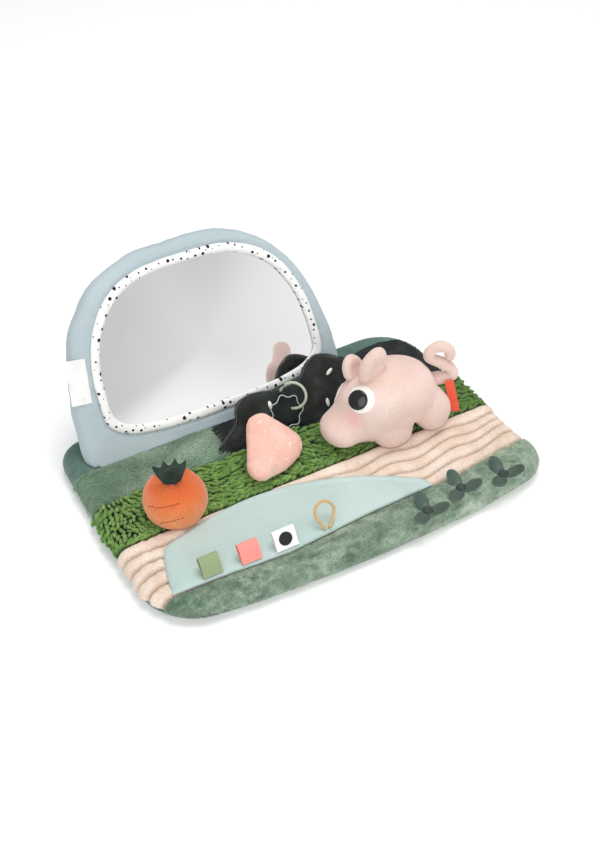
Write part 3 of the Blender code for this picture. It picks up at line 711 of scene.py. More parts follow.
def ball_mesh(c, r, rot=None, seg=32, rings=20):
    t = np.linspace(0, math.pi, rings + 1)[1:-1]
    a = np.linspace(0, 2 * math.pi, seg, endpoint=False)
    R = np.stack([np.stack([np.sin(x) * np.cos(a), np.sin(x) * np.sin(a), np.full(seg, math.cos(x))], 1) for x in t])
    V = R.reshape(-1, 3) * np.array(r, float)
    F = [(i * seg + j, i * seg + (j + 1) % seg, (i + 1) * seg + (j + 1) % seg, (i + 1) * seg + j)
         for i in range(len(t) - 1) for j in range(seg)]
    top, bottom = len(V), len(V) + 1
    V = np.concatenate([V, [[0, 0, r[2]], [0, 0, -r[2]]]])
    F += [(top, (j + 1) % seg, j) for j in range(seg)]
    base = (len(t) - 1) * seg
    F += [(bottom, base + j, base + (j + 1) % seg) for j in range(seg)]
    if rot is not None:
        Q = np.array((Matrix.Rotation(math.radians(rot[2]), 3, "Z") @ Matrix.Rotation(math.radians(rot[1]), 3, "Y")
                      @ Matrix.Rotation(math.radians(rot[0]), 3, "X")))
        V = V @ Q.T
    V = V + np.array(c, float)
    return V, outward(V, F)


def tree(V, F):
    return BVHTree.FromPolygons([Vector(v) for v in np.asarray(V, float)], [tuple(int(i) for i in f) for f in F])


def sample(V, F, spacing, seed=0, keep=None, candidates=6.0):
    """Points about spacing apart on a surface, with their normals."""
    rng = np.random.default_rng(seed)
    tri = np.concatenate([F[:, [0, 1, 2]], F[:, [0, 2, 3]]]) if F.shape[1] == 4 else F
    a, b, c = V[tri[:, 0]], V[tri[:, 1]], V[tri[:, 2]]
    cr = np.cross(b - a, c - a)
    size = np.linalg.norm(cr, axis=1)
    if keep is not None:
        size = size * keep((a + b + c) / 3, cr / np.maximum(size, 1e-9)[:, None])
    n = int(size.sum() / 2 / spacing ** 2 * candidates)
    i = rng.choice(len(size), n, p=size / size.sum())
    u, v = rng.random((2, n, 1))
    u, v = np.where(u + v > 1, 1 - u, u), np.where(u + v > 1, 1 - v, v)
    P = a[i] + u * (b[i] - a[i]) + v * (c[i] - a[i])
    nv = normals(V, F)
    w = 1 - u - v
    N = w * nv[tri[i, 0]] + u * nv[tri[i, 1]] + v * nv[tri[i, 2]]
    N /= np.maximum(np.linalg.norm(N, axis=1), 1e-9)[:, None]
    cell = {}
    kept = []
    q = np.floor(P / spacing).astype(int)
    s2 = spacing * spacing * 0.8
    for k in range(n):
        key = (q[k, 0], q[k, 1], q[k, 2])
        ok = True
        for dx in (-1, 0, 1):
            for dy in (-1, 0, 1):
                for dz in (-1, 0, 1):
                    for m in cell.get((key[0] + dx, key[1] + dy, key[2] + dz), ()):
                        e = P[k] - P[m]
                        if e[0] * e[0] + e[1] * e[1] + e[2] * e[2] < s2:
                            ok = False
                            break
                    if not ok:
                        break
                if not ok:
                    break
            if not ok:
                break
        if ok:
            cell.setdefault(key, []).append(k)
            kept.append(k)
    return P[kept], N[kept]


def strands(P, N, D, length, width, lift, seed=0, sides=3, stations=(0.0, 0.55, 1.0), blunt=False, curl=0.15, cap=None):
    """Small bent solids standing on points P, lying over towards D. cap limits how high each may reach."""
    rng = np.random.default_rng(seed)
    n = len(P)
    L = length * (0.75 + 0.5 * rng.random(n))
    W = width * (0.8 + 0.4 * rng.random(n))
    H = lift * L * (0.8 + 0.4 * rng.random(n))
    D = D - N * (D * N).sum(1)[:, None]
    D /= np.maximum(np.linalg.norm(D, axis=1), 1e-9)[:, None]
    S = np.cross(N, D)
    C = (rng.random(n) - 0.5) * 2 * curl
    if cap is not None:
        H = np.minimum(H, cap)
    rings = []
    for t in stations:
        h = H * (1 - (1 - t) ** 2)
        x = L * (t ** 1.3 if t > 0 else 0) * np.sqrt(max(0.0, 1 - 0.3 * lift))
        centre = P + N * (h - 0.25)[:, None] + D * x[:, None] + S * (C * L * t * t)[:, None]
        if blunt:
            w = W * (0.85 if t == 0 else 1.0 if t < 0.7 else math.sqrt(max(0.0, 1 - ((t - 0.7) / 0.3) ** 2)))
        else:
            w = W * (1 - t) ** 0.7 if t < 1 else W * 0.0
        rings.append((centre, w))
    dirs = []
    tang = [rings[min(k + 1, len(rings) - 1)][0] - rings[max(k - 1, 0)][0] for k in range(len(rings))]
    V, blocks = [], []
    for k, (c, w) in enumerate(rings):
        T = tang[k] / np.maximum(np.linalg.norm(tang[k], axis=1), 1e-9)[:, None]
        U = np.cross(S, T)
        last = k == len(rings) - 1
        if last:
            V.append(c[:, None, :] + (T * (W * 0.1)[:, None])[:, None, :] * (1 if blunt else 0))
        else:
            a = np.arange(sides) * 2 * math.pi / sides + math.pi / 2
            V.append(c[:, None, :] + w[:, None, None] * (np.cos(a)[None, :, None] * S[:, None, :]
                                                         + np.sin(a)[None, :, None] * U[:, None, :]))
    per = sum(v.shape[1] for v in V)
    allV = np.concatenate(V, axis=1).reshape(-1, 3)
    F3 = []
    for k in range(len(rings) - 2):
        for j in range(sides):
            a, b = k * sides + j, k * sides + (j + 1) % sides
            c, d = b + sides, a + sides
            F3 += [(a, b, c), (a, c, d)]
    tip, base = per - 1, (len(rings) - 2) * sides
    for j in range(sides):
        F3.append((base + j, base + (j + 1) % sides, tip))
    for j in range(1, sides - 1):
        F3.append((0, j + 1, j))
    F3 = np.array(F3)
    F = (np.arange(n)[:, None, None] * per + F3[None]).reshape(-1, 3)
    one = allV[:per]
    if volume(one, F3) < 0:
        F = F[:, ::-1]
    tip_of = np.tile(np.concatenate([np.full(v.shape[1], t) for v, t in zip(V, stations)]), n)
    return allV, F, {"tip": tip_of}


def cloth_puff(V, F, pin, size=5.0, pressure=2.0, larger=0.03, reach=3.0, frames=20):
    """How padded cloth of this form swells between its seams, in millimetres at the points V: a coarse copy is blown up
    as cloth that is a little larger than its cut, held where pin is 1, and its movement is scaled so that nearly all of
    it stays within reach."""
    V = np.asarray(V, float)
    k = 0.01
    scene = bpy.context.scene
    ob = bpy.data.objects.new("cloth", raw_mesh("cloth", V * k, F))
    scene.collection.objects.link(ob)
    mod = ob.modifiers.new("r", "REMESH")
    mod.mode = "VOXEL"
    mod.voxel_size = size * k
    me = bpy.data.meshes.new_from_object(ob.evaluated_get(bpy.context.evaluated_depsgraph_get()))
    ob.modifiers.clear()
    first = ob.data
    ob.data = me
    bpy.data.meshes.remove(first)
    n = len(me.vertices)
    co = np.zeros(n * 3)
    me.vertices.foreach_get("co", co)
    co = co.reshape(-1, 3)
    held = np.clip(pin(co / k), 0, 1)
    group = ob.vertex_groups.new(name="held")
    for i in np.nonzero(held > 0.02)[0]:
        group.add([int(i)], float(held[i]), "REPLACE")
    cloth = ob.modifiers.new("cloth", "CLOTH")
    cs = cloth.settings
    cs.quality, cs.mass, cs.bending_stiffness, cs.air_damping = 4, 0.3, 0.3, 3.0
    cs.tension_stiffness = cs.compression_stiffness = 25.0
    cs.tension_damping = cs.compression_damping = 15.0
    cs.use_pressure = True
    cs.uniform_pressure_force = pressure
    cs.effector_weights.gravity = 0.0
    cs.shrink_min = -larger
    cs.vertex_group_mass = "held"
    cloth.point_cache.frame_start, cloth.point_cache.frame_end = 1, frames
    for frame_ in range(1, frames + 1):
        scene.frame_set(frame_)
    done = ob.evaluated_get(bpy.context.evaluated_depsgraph_get())
    out = done.to_mesh()
    moved = np.zeros(n * 3)
    out.vertices.foreach_get("co", moved)
    done.to_mesh_clear()
    scene.frame_set(1)
    bpy.data.objects.remove(ob)
    bpy.data.meshes.remove(me)
    d = (moved.reshape(-1, 3) - co) / k
    far = np.percentile(np.linalg.norm(d, axis=1), 95)
    d *= min(1.0, reach / max(far, 1e-6))
    long_ = np.linalg.norm(d, axis=1)
    d *= (reach * 1.3 * np.tanh(long_ / (reach * 1.3)) / np.maximum(long_, 1e-9))[:, None]
    find = KDTree(n)
    for i, p in enumerate(co / k):
        find.insert(p, i)
    find.balance()
    result = np.zeros_like(V)
    for i, p in enumerate(V):
        near = find.find_n(p, 5)
        w = np.array([1.0 / (m[2] + 0.4) ** 2 for m in near])
        result[i] = (d[[m[1] for m in near]] * w[:, None]).sum(0) / w.sum()
    return result


# ----------------------------------------------------------------------------
# the mat
# ----------------------------------------------------------------------------
MAT_HALF_W, MAT_REAR, MAT_FRONT = 183.0, 126.0, -106.0
MAT_BOW, MAT_FLARE, MAT_SKEW = 14.0, 10.0, 4.0
RADII = (44.0, 30.0, 46.0, 26.0)
Y_FRONT, Y_GRASS_CORD, Y_PLUSH_GRASS, X_SAGE_DARK, Y_APRON = -86.0, -21.0, 34.0, -52.0, 77.0
SEAM_Z = 8.5


def mat_outline(inset, per_corner=14, per_edge=24):
    w, rear, front = MAT_HALF_W - inset, MAT_REAR - inset, MAT_FRONT + inset
    pts = []

    def corner(cx, cy, r, start):
        r = max(r - inset, 4.0)
        for k in range(per_corner + 1):
            a = math.radians(start + 90.0 * k / per_corner)
            pts.append((cx + r * math.cos(a), cy + r * math.sin(a)))

    def centre(r, sx, sy):
        r = max(r - inset, 4.0)
        return (sx * (w - r), (rear - r) if sy > 0 else (front + r))

    c, c2 = centre(RADII[0], -1, -1), centre(RADII[1], 1, -1)
    corner(*c, RADII[0], 180)
    for k in range(1, per_edge + 1):
        pts.append((c[0] + (c2[0] - c[0]) * k / (per_edge + 1), front))
    corner(*c2, RADII[1], 270)
    corner(*centre(RADII[2], 1, 1), RADII[2], 0)
    corner(*centre(RADII[3], -1, 1), RADII[3], 90)
    p = np.array(pts)
    f = np.clip((-p[:, 1] - 20.0) / 90.0, 0, 1)
    x, y = p[:, 0].copy(), p[:, 1].copy()
    p[:, 0] = x + MAT_FLARE * f * np.maximum(0, x / w) ** 2
    p[:, 1] = y - MAT_BOW * f * np.maximum(0, 1 - (x / w) ** 2) - MAT_SKEW * f * x / w
    return p


def seam_y(x):
    x = np.asarray(x, float)
    left = Y_FRONT - 5.5 * np.exp(-((x + 62.0) / 55.0) ** 2)
    return np.where(x <= 80, left, np.interp(x, [80, 110, 150, 184, 240], [-86.0, -85.0, -79.5, -75.5, -70.0]))


def rear_y(x):
    return np.interp(x, [-200, 92, 96, 100, 110, 120, 135, 150, 182, 240], [77, 77, 79, 87, 99, 104, 106.5, 107, 99, 99])


def warp(x, y, sign):
    """Straightens (sign -1) or bends (sign 1) the front seam and the dark panel's rear seam."""
    wf = step(Y_GRASS_CORD - 6, Y_FRONT + 6, y) * step(-150, -105, y)
    wr = step(Y_PLUSH_GRASS + 6, Y_APRON - 2, y)
    return y + sign * ((seam_y(x) - Y_FRONT) * wf + (rear_y(x) - Y_APRON) * wr)


def straight(x, y):
    out = np.asarray(y, float).copy()
    for _ in range(12):
        out = out - 0.8 * (warp(x, out, 1) - y)
    return out


angles = [math.radians(a) for a in (90, 70, 50, 32, 15, 0)]
rings = [np.column_stack([mat_outline(7.5 * (1 - math.cos(a))), np.full(99, 0)[:0] if False else
                          np.full(len(mat_outline(0)), SEAM_Z * (1 - math.sin(a)))]) for a in angles]
rings += [np.column_stack([mat_outline(10.5 * (1 - math.cos(a))),
                           np.full(len(mat_outline(0)), SEAM_Z + 11.5 * math.sin(a))])
          for a in [math.radians(b) for b in (15, 30, 45, 60, 75, 90)]]
V, F = loft(rings)
V, F = voxel(V, F, 1.3)
V = relax(V, F, 3, 0.5)
x, y, z = V.T
V[:, 1] = yu = straight(x, y)
N = normals(V, F)


def mat_held(p):
    """Seams, the underside and what lies under the mirror panel don't swell."""
    near = np.minimum.reduce([np.abs(p[:, 1] - s_) for s_ in (Y_FRONT, Y_GRASS_CORD, Y_PLUSH_GRASS, Y_APRON)])
    near = np.minimum(near, np.where((p[:, 1] > Y_PLUSH_GRASS) & (p[:, 1] < Y_APRON), np.abs(p[:, 0] - X_SAGE_DARK), 99))
    return np.where((p[:, 2] < SEAM_Z + 1) | (near < 3.0) | (p[:, 1] > Y_APRON - 4), 1.0, 0.0)


PUFF = cloth_puff(V, F, mat_held, size=4.6, reach=3.6)
P3 = np.column_stack([x, yu, z])
up = np.clip(N[:, 2], 0, 1)
d_front, d_gc, d_pg, d_ap = (np.abs(yu - s) for s in (Y_FRONT, Y_GRASS_CORD, Y_PLUSH_GRASS, Y_APRON))
d_x = np.where((yu > Y_PLUSH_GRASS - 3) & (yu < Y_APRON), np.abs(x - X_SAGE_DARK), 99.0)
top = z > SEAM_Z
h = np.zeros(len(V))
near_seam = np.minimum.reduce([d_front, d_gc, d_pg, d_ap + 4.0, d_x])
fade = 1 - np.exp(-(near_seam / 4.0) ** 2)
vel = top & (yu < Y_FRONT)
crd = top & (yu > Y_FRONT) & (yu < Y_GRASS_CORD)
gra = top & (yu > Y_GRASS_CORD) & (yu < Y_PLUSH_GRASS)
sag = top & (yu > Y_PLUSH_GRASS) & (yu < Y_APRON) & (x < X_SAGE_DARK)
drk = top & (yu > Y_PLUSH_GRASS) & (yu < Y_APRON) & (x > X_SAGE_DARK)
apr = top & (yu > Y_APRON)
h -= np.where(vel, 1.6 * np.exp(-(d_front / 1.1) ** 2), 0)
h -= np.where(crd, 1.2 * np.exp(-(d_front / 1.6) ** 2), 0)
h -= np.where(top, 0.8 * np.exp(-(d_gc / 1.3) ** 2) + 1.0 * np.exp(-(d_pg / 2.0) ** 2) + 1.0 * np.exp(-(d_x / 2.0) ** 2), 0)
h -= 0.9 * np.exp(-((z - SEAM_Z) / 1.6) ** 2) * (yu > Y_FRONT)

# velvet: a soft bolster with puckers running out of its seam
t = np.clip((Y_FRONT - yu) / 34.0, 0, 1)
hv = 1.3 * (1 - np.exp(-(Y_FRONT - yu) / 2.2)) * (1 - t) + 1.0 * np.sin(math.pi * t) + 0.9 * fbm(P3, 34, 2, 3, (1.4, 1, 1))
pucker = vnoise(np.column_stack([x / 6.0, yu / 30, z * 0]), 5)
hv += 0.9 * np.exp(-(Y_FRONT - yu) / 8.0) * pucker * (1 - np.exp(-d_front / 1.5))
hv += 2.1 * fbm(P3, 20, 2, 8, (0.7, 1.6, 1)) * step(115, 155, x)
h += np.where(vel, hv, 0)

# corduroy: five round wales with narrow deep grooves, wavy at the right and gathered into tubes at the left end
P2 = np.column_stack([x, yu, 0 * x])
k = (Y_GRASS_CORD - yu) / (Y_GRASS_CORD - Y_FRONT) * 5.0
inner = np.clip(np.sin(math.pi * np.clip(k / 5.0, 0, 1)), 0, 1) ** 0.6
wave = 0.22 * step(-30, 60, x) * np.sin(2 * math.pi * (x / 63.0 + 0.10 * k) + 0.6) + 0.10 * fbm(P2, 34, 2, 11)
wave += 0.12 * step(-110, -160, x) * vnoise(np.column_stack([x / 12, yu / 14, z * 0]), 12)
kk = k + wave * inner
frac = kk - np.floor(kk)
dg = np.minimum(frac, 1 - frac) * 13.0
left_end = step(-112, -162, x)
crumple = vnoise(np.column_stack([x / 5.0, np.floor(kk) * 7.3 + yu / 16, z * 0]), 14)
gathered = np.exp(-(dg / 3.2) ** 2) * vnoise(np.column_stack([x / 3.6, np.round(kk) * 3.1, z * 0]), 16)
hc = (1.5 + 1.6 * left_end + 0.35 * fbm(P2, 25, 2, 13)) * (1 - (2 * frac - 1) ** 2) - 1.7 * np.exp(-(dg / 1.0) ** 2)
hc += left_end * (1.3 * crumple + 1.2 * gathered) + 0.22 * gathered
hc += 1.9 * np.exp(-((k - 0.38) / 0.5) ** 2) + 0.6 * fbm(P2, 55, 2, 15)
h += np.where(crd, hc, 0)
# how much to darken the corduroy: its grooves (partly the shorter pile's own tone, partly painted shade) and the
# hollows of the gathered left end (painted shade)
GROOVE_TONE_AND_SHADE = np.where(crd, np.exp(-(dg / 1.5) ** 2) * 0.9 + 0.25 * np.clip(-gathered, 0, 1) * left_end, 0.0)

h += np.where(gra, -2.6 * fade + 0.6 * fbm(P3, 30, 2, 21), 0)
hs = 0.2 + 1.1 * fbm(P3, 26, 2, 31, (1.6, 0.7, 1)) + 1.5 * step(-100, -150, x) * vnoise(
    np.column_stack([x / 30 + yu / 60, yu / 11, z * 0]), 33)
h += np.where(sag, hs * fade, 0)
h += np.where(drk, (-0.4 + 0.9 * fbm(P3, 28, 2, 41)) * fade, 0)
h += np.where(apr, (0.8 * fbm(P3, 40, 2, 51)) * np.clip(d_ap / 12, 0, 1), 0)
h += np.where(~top, 0.6 * fbm(P3, 35, 2, 61) * step(0.0, 4.0, z), 0)
share = np.select([crd, gra, drk], [0.35, 0.3, 0.6], 1.0)
MAT_V = V + PUFF * share[:, None] + N * h[:, None]
lift = step(105, 180, x) * step(-60, -100, yu) * 5.5
MAT_V[:, 2] += lift * np.clip(1 - z / 9.0, 0, 1)
MAT_V[:, 2] = np.maximum(MAT_V[:, 2], 0.0)
MAT_F = F
MAT_N = N


def to_bmesh(V, F, values=None):
    bm = bmesh.new()
    me = raw_mesh("tmp", V, F)
    for key, numbers in (values or {}).items():
        me.attributes.new(key, "FLOAT", "POINT").data.foreach_set("value", np.asarray(numbers, np.float32))
    bm.from_mesh(me)
    bpy.data.meshes.remove(me)
    return bm


def keep_side(bm, co, no):
    """Cuts the solid by a plane, drops what the plane's normal points at, and closes it."""
    r = bmesh.ops.bisect_plane(bm, geom=bm.verts[:] + bm.edges[:] + bm.faces[:], dist=1e-5, plane_co=co, plane_no=no,
                               clear_outer=True)
    cut = [e for e in r["geom_cut"] if isinstance(e, bmesh.types.BMEdge)]
    bmesh.ops.holes_fill(bm, edges=cut, sides=0)
    return bm


def bm_piece(bm, name, mat, body, replaces):
    bm.verts.index_update()
    V = np.array([v.co for v in bm.verts], float)
    F = [tuple(v.index for v in f.verts) for f in bm.faces]
    groove_tone_and_shade_layer = bm.verts.layers.float.get("groove_tone_and_shade")
    groove_tone_and_shade = [v[groove_tone_and_shade_layer] for v in bm.verts]
    bm.free()
    V[:, 1] = warp(V[:, 0], V[:, 1], 1)
    ob = put(name, V, F, mat, body, replaces, sharp=60, values={"groove_tone_and_shade": groove_tone_and_shade, "tip": [0.0] * len(V)})
    return ob, V, F


whole = to_bmesh(MAT_V, MAT_F, {"groove_tone_and_shade": GROOVE_TONE_AND_SHADE})
lower = keep_side(whole.copy(), (0, 0, SEAM_Z), (0, 0, 1))
upper = keep_side(whole, (0, 0, SEAM_Z), (0, 0, -1))
wrap = bm_piece(keep_side(lower.copy(), (0, Y_FRONT, 0), (0, 1, 0)), "velvet_wrap", M["velvet"], "mat", ())
bm_piece(keep_side(lower, (0, Y_FRONT, 0), (0, -1, 0)), "under_cover", M["cover"], "mat", ["back_cover"])
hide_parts("base_wadding")
front = keep_side(upper.copy(), (0, Y_GRASS_CORD, 0), (0, 1, 0))
rear = keep_side(upper, (0, Y_GRASS_CORD, 0), (0, -1, 0))
velvet = bm_piece(keep_side(front.copy(), (0, Y_FRONT, 0), (0, 1, 0)), "velvet_front", M["velvet"], "mat",
                  ["velvet_front_panel"])
cord = bm_piece(keep_side(front, (0, Y_FRONT, 0), (0, -1, 0)), "corduroy", M["cord"], "mat", ["corduroy_panel"])
grass_bm = keep_side(rear.copy(), (0, Y_PLUSH_GRASS, 0), (0, 1, 0))
rear = keep_side(rear, (0, Y_PLUSH_GRASS, 0), (0, -1, 0))
grass = bm_piece(grass_bm, "grass_backing", M["grass_base"], "mat", ["grass_panel"])
apron = bm_piece(keep_side(rear.copy(), (0, Y_APRON, 0), (0, -1, 0)), "rear_apron_cloth", M["cover"], "mat",
                 ["rear_apron"])
rear = keep_side(rear, (0, Y_APRON, 0), (0, 1, 0))
sage = bm_piece(keep_side(rear.copy(), (X_SAGE_DARK, 0, 0), (1, 0, 0)), "sage_plush", M["sage"], "mat",
                ["sage_plush_panel"])
darkp = bm_piece(keep_side(rear, (X_SAGE_DARK, 0, 0), (-1, 0, 0)), "dark_plush", M["dark"], "mat",
                 ["dark_plush_panel"])

# ----------------------------------------------------------------------------
# mirror panel
# ----------------------------------------------------------------------------
LEAN = math.radians(31.0)
MIRROR_O = (0.0, Y_APRON, 20.3)
MIRROR_X, MIRROR_HALF_W, MIRROR_H, MIRROR_T = -35.5, 130.0, 171.0, 23.0
BIND_X, BIND_HALF_W, BIND_MID_V, BIND_UP, BIND_DOWN, BIND_W = -31.5, 109.5, 53.0, 104.0, 41.5, 8.5


def dome(inset=0.0, base=-8.0, n=120):
    a = np.linspace(0, math.pi, n + 1)
    c, s = np.cos(a), np.maximum(np.sin(a), 0)
    px = MIRROR_X + np.sign(c) * np.abs(c) ** (2 / 2.7) * (MIRROR_HALF_W - inset)
    pz = s ** (2 / 2.7) * (MIRROR_H - inset)
    pts = np.column_stack([px, np.maximum(pz, base + 0.5)])
    return np.concatenate([[(pts[0, 0], base)], pts, [(pts[-1, 0], base)]])


def pane(inset=0.0, n=200):
    a = np.linspace(0, 2 * math.pi, n, endpoint=False)
    c, s = np.cos(a), np.sin(a)
    px = np.sign(c) * np.abs(c) ** (2 / 2.95) * (BIND_HALF_W - inset)
    pz = np.where(s >= 0, np.abs(s) ** (2 / 2.2) * (BIND_UP - inset), -np.abs(s) ** (2 / 4.0) * (BIND_DOWN - inset))
    return np.column_stack([BIND_X + px, BIND_MID_V + pz])


def pane_depth(px, pv):
    """Inset at which the binding's outline would pass through a point; below 0 outside it."""
    dx, dv = np.abs(px - BIND_X), pv - BIND_MID_V
    up_v = dv >= 0
    lo, hi = np.full(len(px), -60.0), np.full(len(px), 41.0)
    for _ in range(24):
        mid = (lo + hi) / 2
        a = dx / (BIND_HALF_W - mid)
        b = np.abs(dv) / np.where(up_v, BIND_UP - mid, BIND_DOWN - mid)
        e1 = np.where(up_v, 2.2, 4.0)
        # the two exponents differ, so the test is on the angle form of the outline
        f = a ** 2.95 + b ** e1
        inside = f < 1
        lo, hi = np.where(inside, mid, lo), np.where(inside, hi, mid)
    return lo


rings = []
for inset, depth in [(9.5, 0.0), (5.8, 0.5), (3.0, 1.8), (1.1, 4.2), (0.15, 7.5), (0.0, 11.5), (0.3, 15.5), (1.6, 19.2),
                     (4.0, 21.8), (8.0, 23.0)]:
    d = dome(inset, -8.0)
    rings.append(np.column_stack([d[:, 0], np.full(len(d), depth), d[:, 1]]))
V, F = loft(rings)
bm = to_bmesh(V, F)
keep_side(bm, (0, 0, 0), (0, math.sin(LEAN), -math.cos(LEAN)))
bm.verts.index_update()
V = np.array([v.co for v in bm.verts], float)
F = [tuple(v.index for v in f.verts) for f in bm.faces]
bm.free()
V, F = voxel(V, F, 1.9)
low = V[:, 2] * math.cos(LEAN) - V[:, 1] * math.sin(LEAN)
V = relax(V, F, 4, 0.5, mask=(low > 2.0).astype(float))
N = normals(V, F)
rim = 1 - np.clip(np.abs(N[:, 1]), 0, 1)
P3 = V.copy()
h = 0.9 * rim * fbm(P3, 26, 2, 71) + 0.45 * rim * fbm(P3, 9, 2, 72)
flat3 = np.column_stack([V[:, 0], 0 * V[:, 0], V[:, 2]])
h += 1.3 * rim * vnoise(flat3 / 24.0, 75)
side = step(-40, -130, V[:, 0] - MIRROR_X + 0) * step(75, 15, V[:, 2])
h += 1.7 * side * rim * vnoise(np.column_stack([V[:, 1] / 6, V[:, 2] / 38, V[:, 0] / 60]), 74)
inset = pane_depth(V[:, 0], V[:, 2])
front_face = (N[:, 1] < -0.6) & (V[:, 1] < 4)
# fine puckers run from the binding into the cotton, and from its outer seam back to the rim
sweep = np.arctan2(V[:, 2] - 60.0, V[:, 0] - MIRROR_X)
fine_p = vnoise(np.column_stack([sweep * 16.0, 0 * sweep, 0 * sweep]), 76)
h += np.where(front_face, 0.55 * fbm(P3, 38, 2, 73) * step(0, 8, -inset) - 1.7 * np.exp(-((inset + 0.7) / 1.0) ** 2)
              + 0.5 * fine_p * np.exp(-np.abs(inset + 2.5) / 5.0) * step(0.5, 2.5, -inset), 0)
h += 0.28 * rim * fine_p * step(2.0, 10.0, V[:, 1])
hollow_in = front_face & (inset > 3.0)


def panel_held(p):
    deep = pane_depth(p[:, 0], p[:, 2])
    return np.where(((p[:, 1] < 6) & (deep > -3.5)) | (p[:, 2] < 5) | (np.abs(p[:, 1] - 12.5) < 2.6), 1.0, 0.0)


swell = cloth_puff(V, F, panel_held, size=5.0, reach=1.8)
swell[hollow_in] = 0.0
V = V + swell + N * h[:, None]
V[hollow_in, 1] = 7.5
back_seam = np.exp(-((V[:, 1] - 12.5) / 1.1) ** 2) * rim
V -= N * (0.8 * back_seam)[:, None]
panel = put("mirror_panel", leaned(V, MIRROR_O, LEAN), F, M["frame"], "mirror",
            ["mirror_back_cover", "mirror_front_cover", "mirror_pad", "mirror_board"])

# mirror film: a closed thin plate, gently dished into the padding
DISH = 4.0
fr = np.linspace(0.0, 1.0, 22)[1:]
edge = pane(2.5, 200)
mid = np.array([BIND_X, BIND_MID_V + 18])
rings = []
for f_ in fr[::-1]:
    p = mid + (edge - mid) * f_
    rings.append(np.column_stack([p[:, 0], 1.5 + DISH * (1 - f_ ** 2) * np.ones(len(p)), p[:, 1]]))
n = len(edge)
Vf = np.concatenate(rings + [[[mid[0], 1.5 + DISH, mid[1]]]])
Ff = [(i * n + j, (i + 1) * n + j, (i + 1) * n + (j + 1) % n, i * n + (j + 1) % n)
      for i in range(len(rings) - 1) for j in range(n)]
c0 = (len(rings) - 1) * n
Ff += [(c0 + j, len(Vf) - 1, c0 + (j + 1) % n) for j in range(n)]
m0 = len(Vf)
Vb = Vf + np.array([0, 0.8, 0])
Fb = [tuple(i + m0 for i in reversed(f)) for f in Ff]
Fr = [(j, (j + 1) % n, m0 + (j + 1) % n, m0 + j) for j in range(n)]
V, F = np.concatenate([Vf, Vb]), Ff + Fb + Fr
F = outward(V, F)
put("mirror_film", leaned(V, MIRROR_O, LEAN), F, M["mirror"], "mirror", ["mirror_sheet"], sharp=50)

# binding: rolled tape with small wrinkles
prof = [(0.15, 1.2), (-0.2, 0.0), (0.1, -0.9), (0.9, -1.7), (2.2, -2.2), (4.0, -2.2), (5.8, -1.9), (7.2, -1.2), (7.9, -0.1),
        (7.7, 1.0), (6.0, 2.2), (2.0, 2.2)]
rings = []
for ins, dep in prof:
    p = pane(ins, 260)
    q = np.column_stack([p[:, 0], np.full(len(p), dep), p[:, 1]])
    amp = 0.55 if dep < -0.5 else 0.1
    q[:, 1] += amp * fbm(np.column_stack([p[:, 0], p[:, 1], np.full(len(p), 3.0)]), 6.0, 2, 81)
    q[:, [0, 2]] += 0.35 * np.column_stack([fbm(q, 12, 1, 82), fbm(q, 12, 1, 83)])
    rings.append(q)
R, nn = len(rings), 260
V = np.concatenate(rings)
F = [(i * nn + j, i * nn + (j + 1) % nn, ((i + 1) % R) * nn + (j + 1) % nn, ((i + 1) % R) * nn + j)
     for i in range(R) for j in range(nn)]
put("binding", leaned(V, MIRROR_O, LEAN), outward(V, F), M["dots"], "mirror", ["mirror_binding"])

# bare side label: a woven tape folded into the side of the panel
rings = []
lw, lh = 17.5, 39.0
ang = math.radians(8)
for u_ in np.linspace(-1, 1, 13):
    xs = u_ * lw / 2
    ring = []
    for v_ in np.linspace(-1, 1, 15):
        ring.append((xs, -0.85 - 0.15 * math.sin(3 * v_ + 1) - 0.25 * (1 - u_ ** 2), v_ * lh / 2))
    back = [(p[0], p[1] + 0.6, p[2]) for p in reversed(ring)]
    rings.append(ring + back)
V, F = loft(rings)
c, s = math.cos(ang), math.sin(ang)
V = np.column_stack([V[:, 0] * c + V[:, 2] * s - 153.0, V[:, 1], -V[:, 0] * s + V[:, 2] * c + 77.0])
label_tape = put("side_label_tape", leaned(V, MIRROR_O, LEAN), F, M["label"], "mirror", ["side_label"], sharp=40)

# ----------------------------------------------------------------------------
# hedge
# ----------------------------------------------------------------------------
HEDGE_LEAN = math.radians(30.0)
HEDGE_O = (0.0, 36.0, 20.3)
outline = smooth_loop([(-66, -9), (-64, 2), (-49, 13), (-37, 23), (-33, 35), (-24, 42), (-8, 43), (8, 39), (24, 39), (34, 42),
                       (42, 51), (52, 57), (62, 56), (74, 50), (88, 41), (98, 26), (106, 8), (109, -9)], 8)
cen = np.array([22.0, 14.0])


def inset_outline(o, d):
    t_ = np.roll(o, -1, 0) - np.roll(o, 1, 0)
    t_ /= np.maximum(np.linalg.norm(t_, axis=1), 1e-9)[:, None]
    nrm = np.column_stack([t_[:, 1], -t_[:, 0]])
    area = 0.5 * (o[:, 0] * np.roll(o[:, 1], -1) - np.roll(o[:, 0], -1) * o[:, 1]).sum()
    return o - nrm * d * (1 if area > 0 else -1)


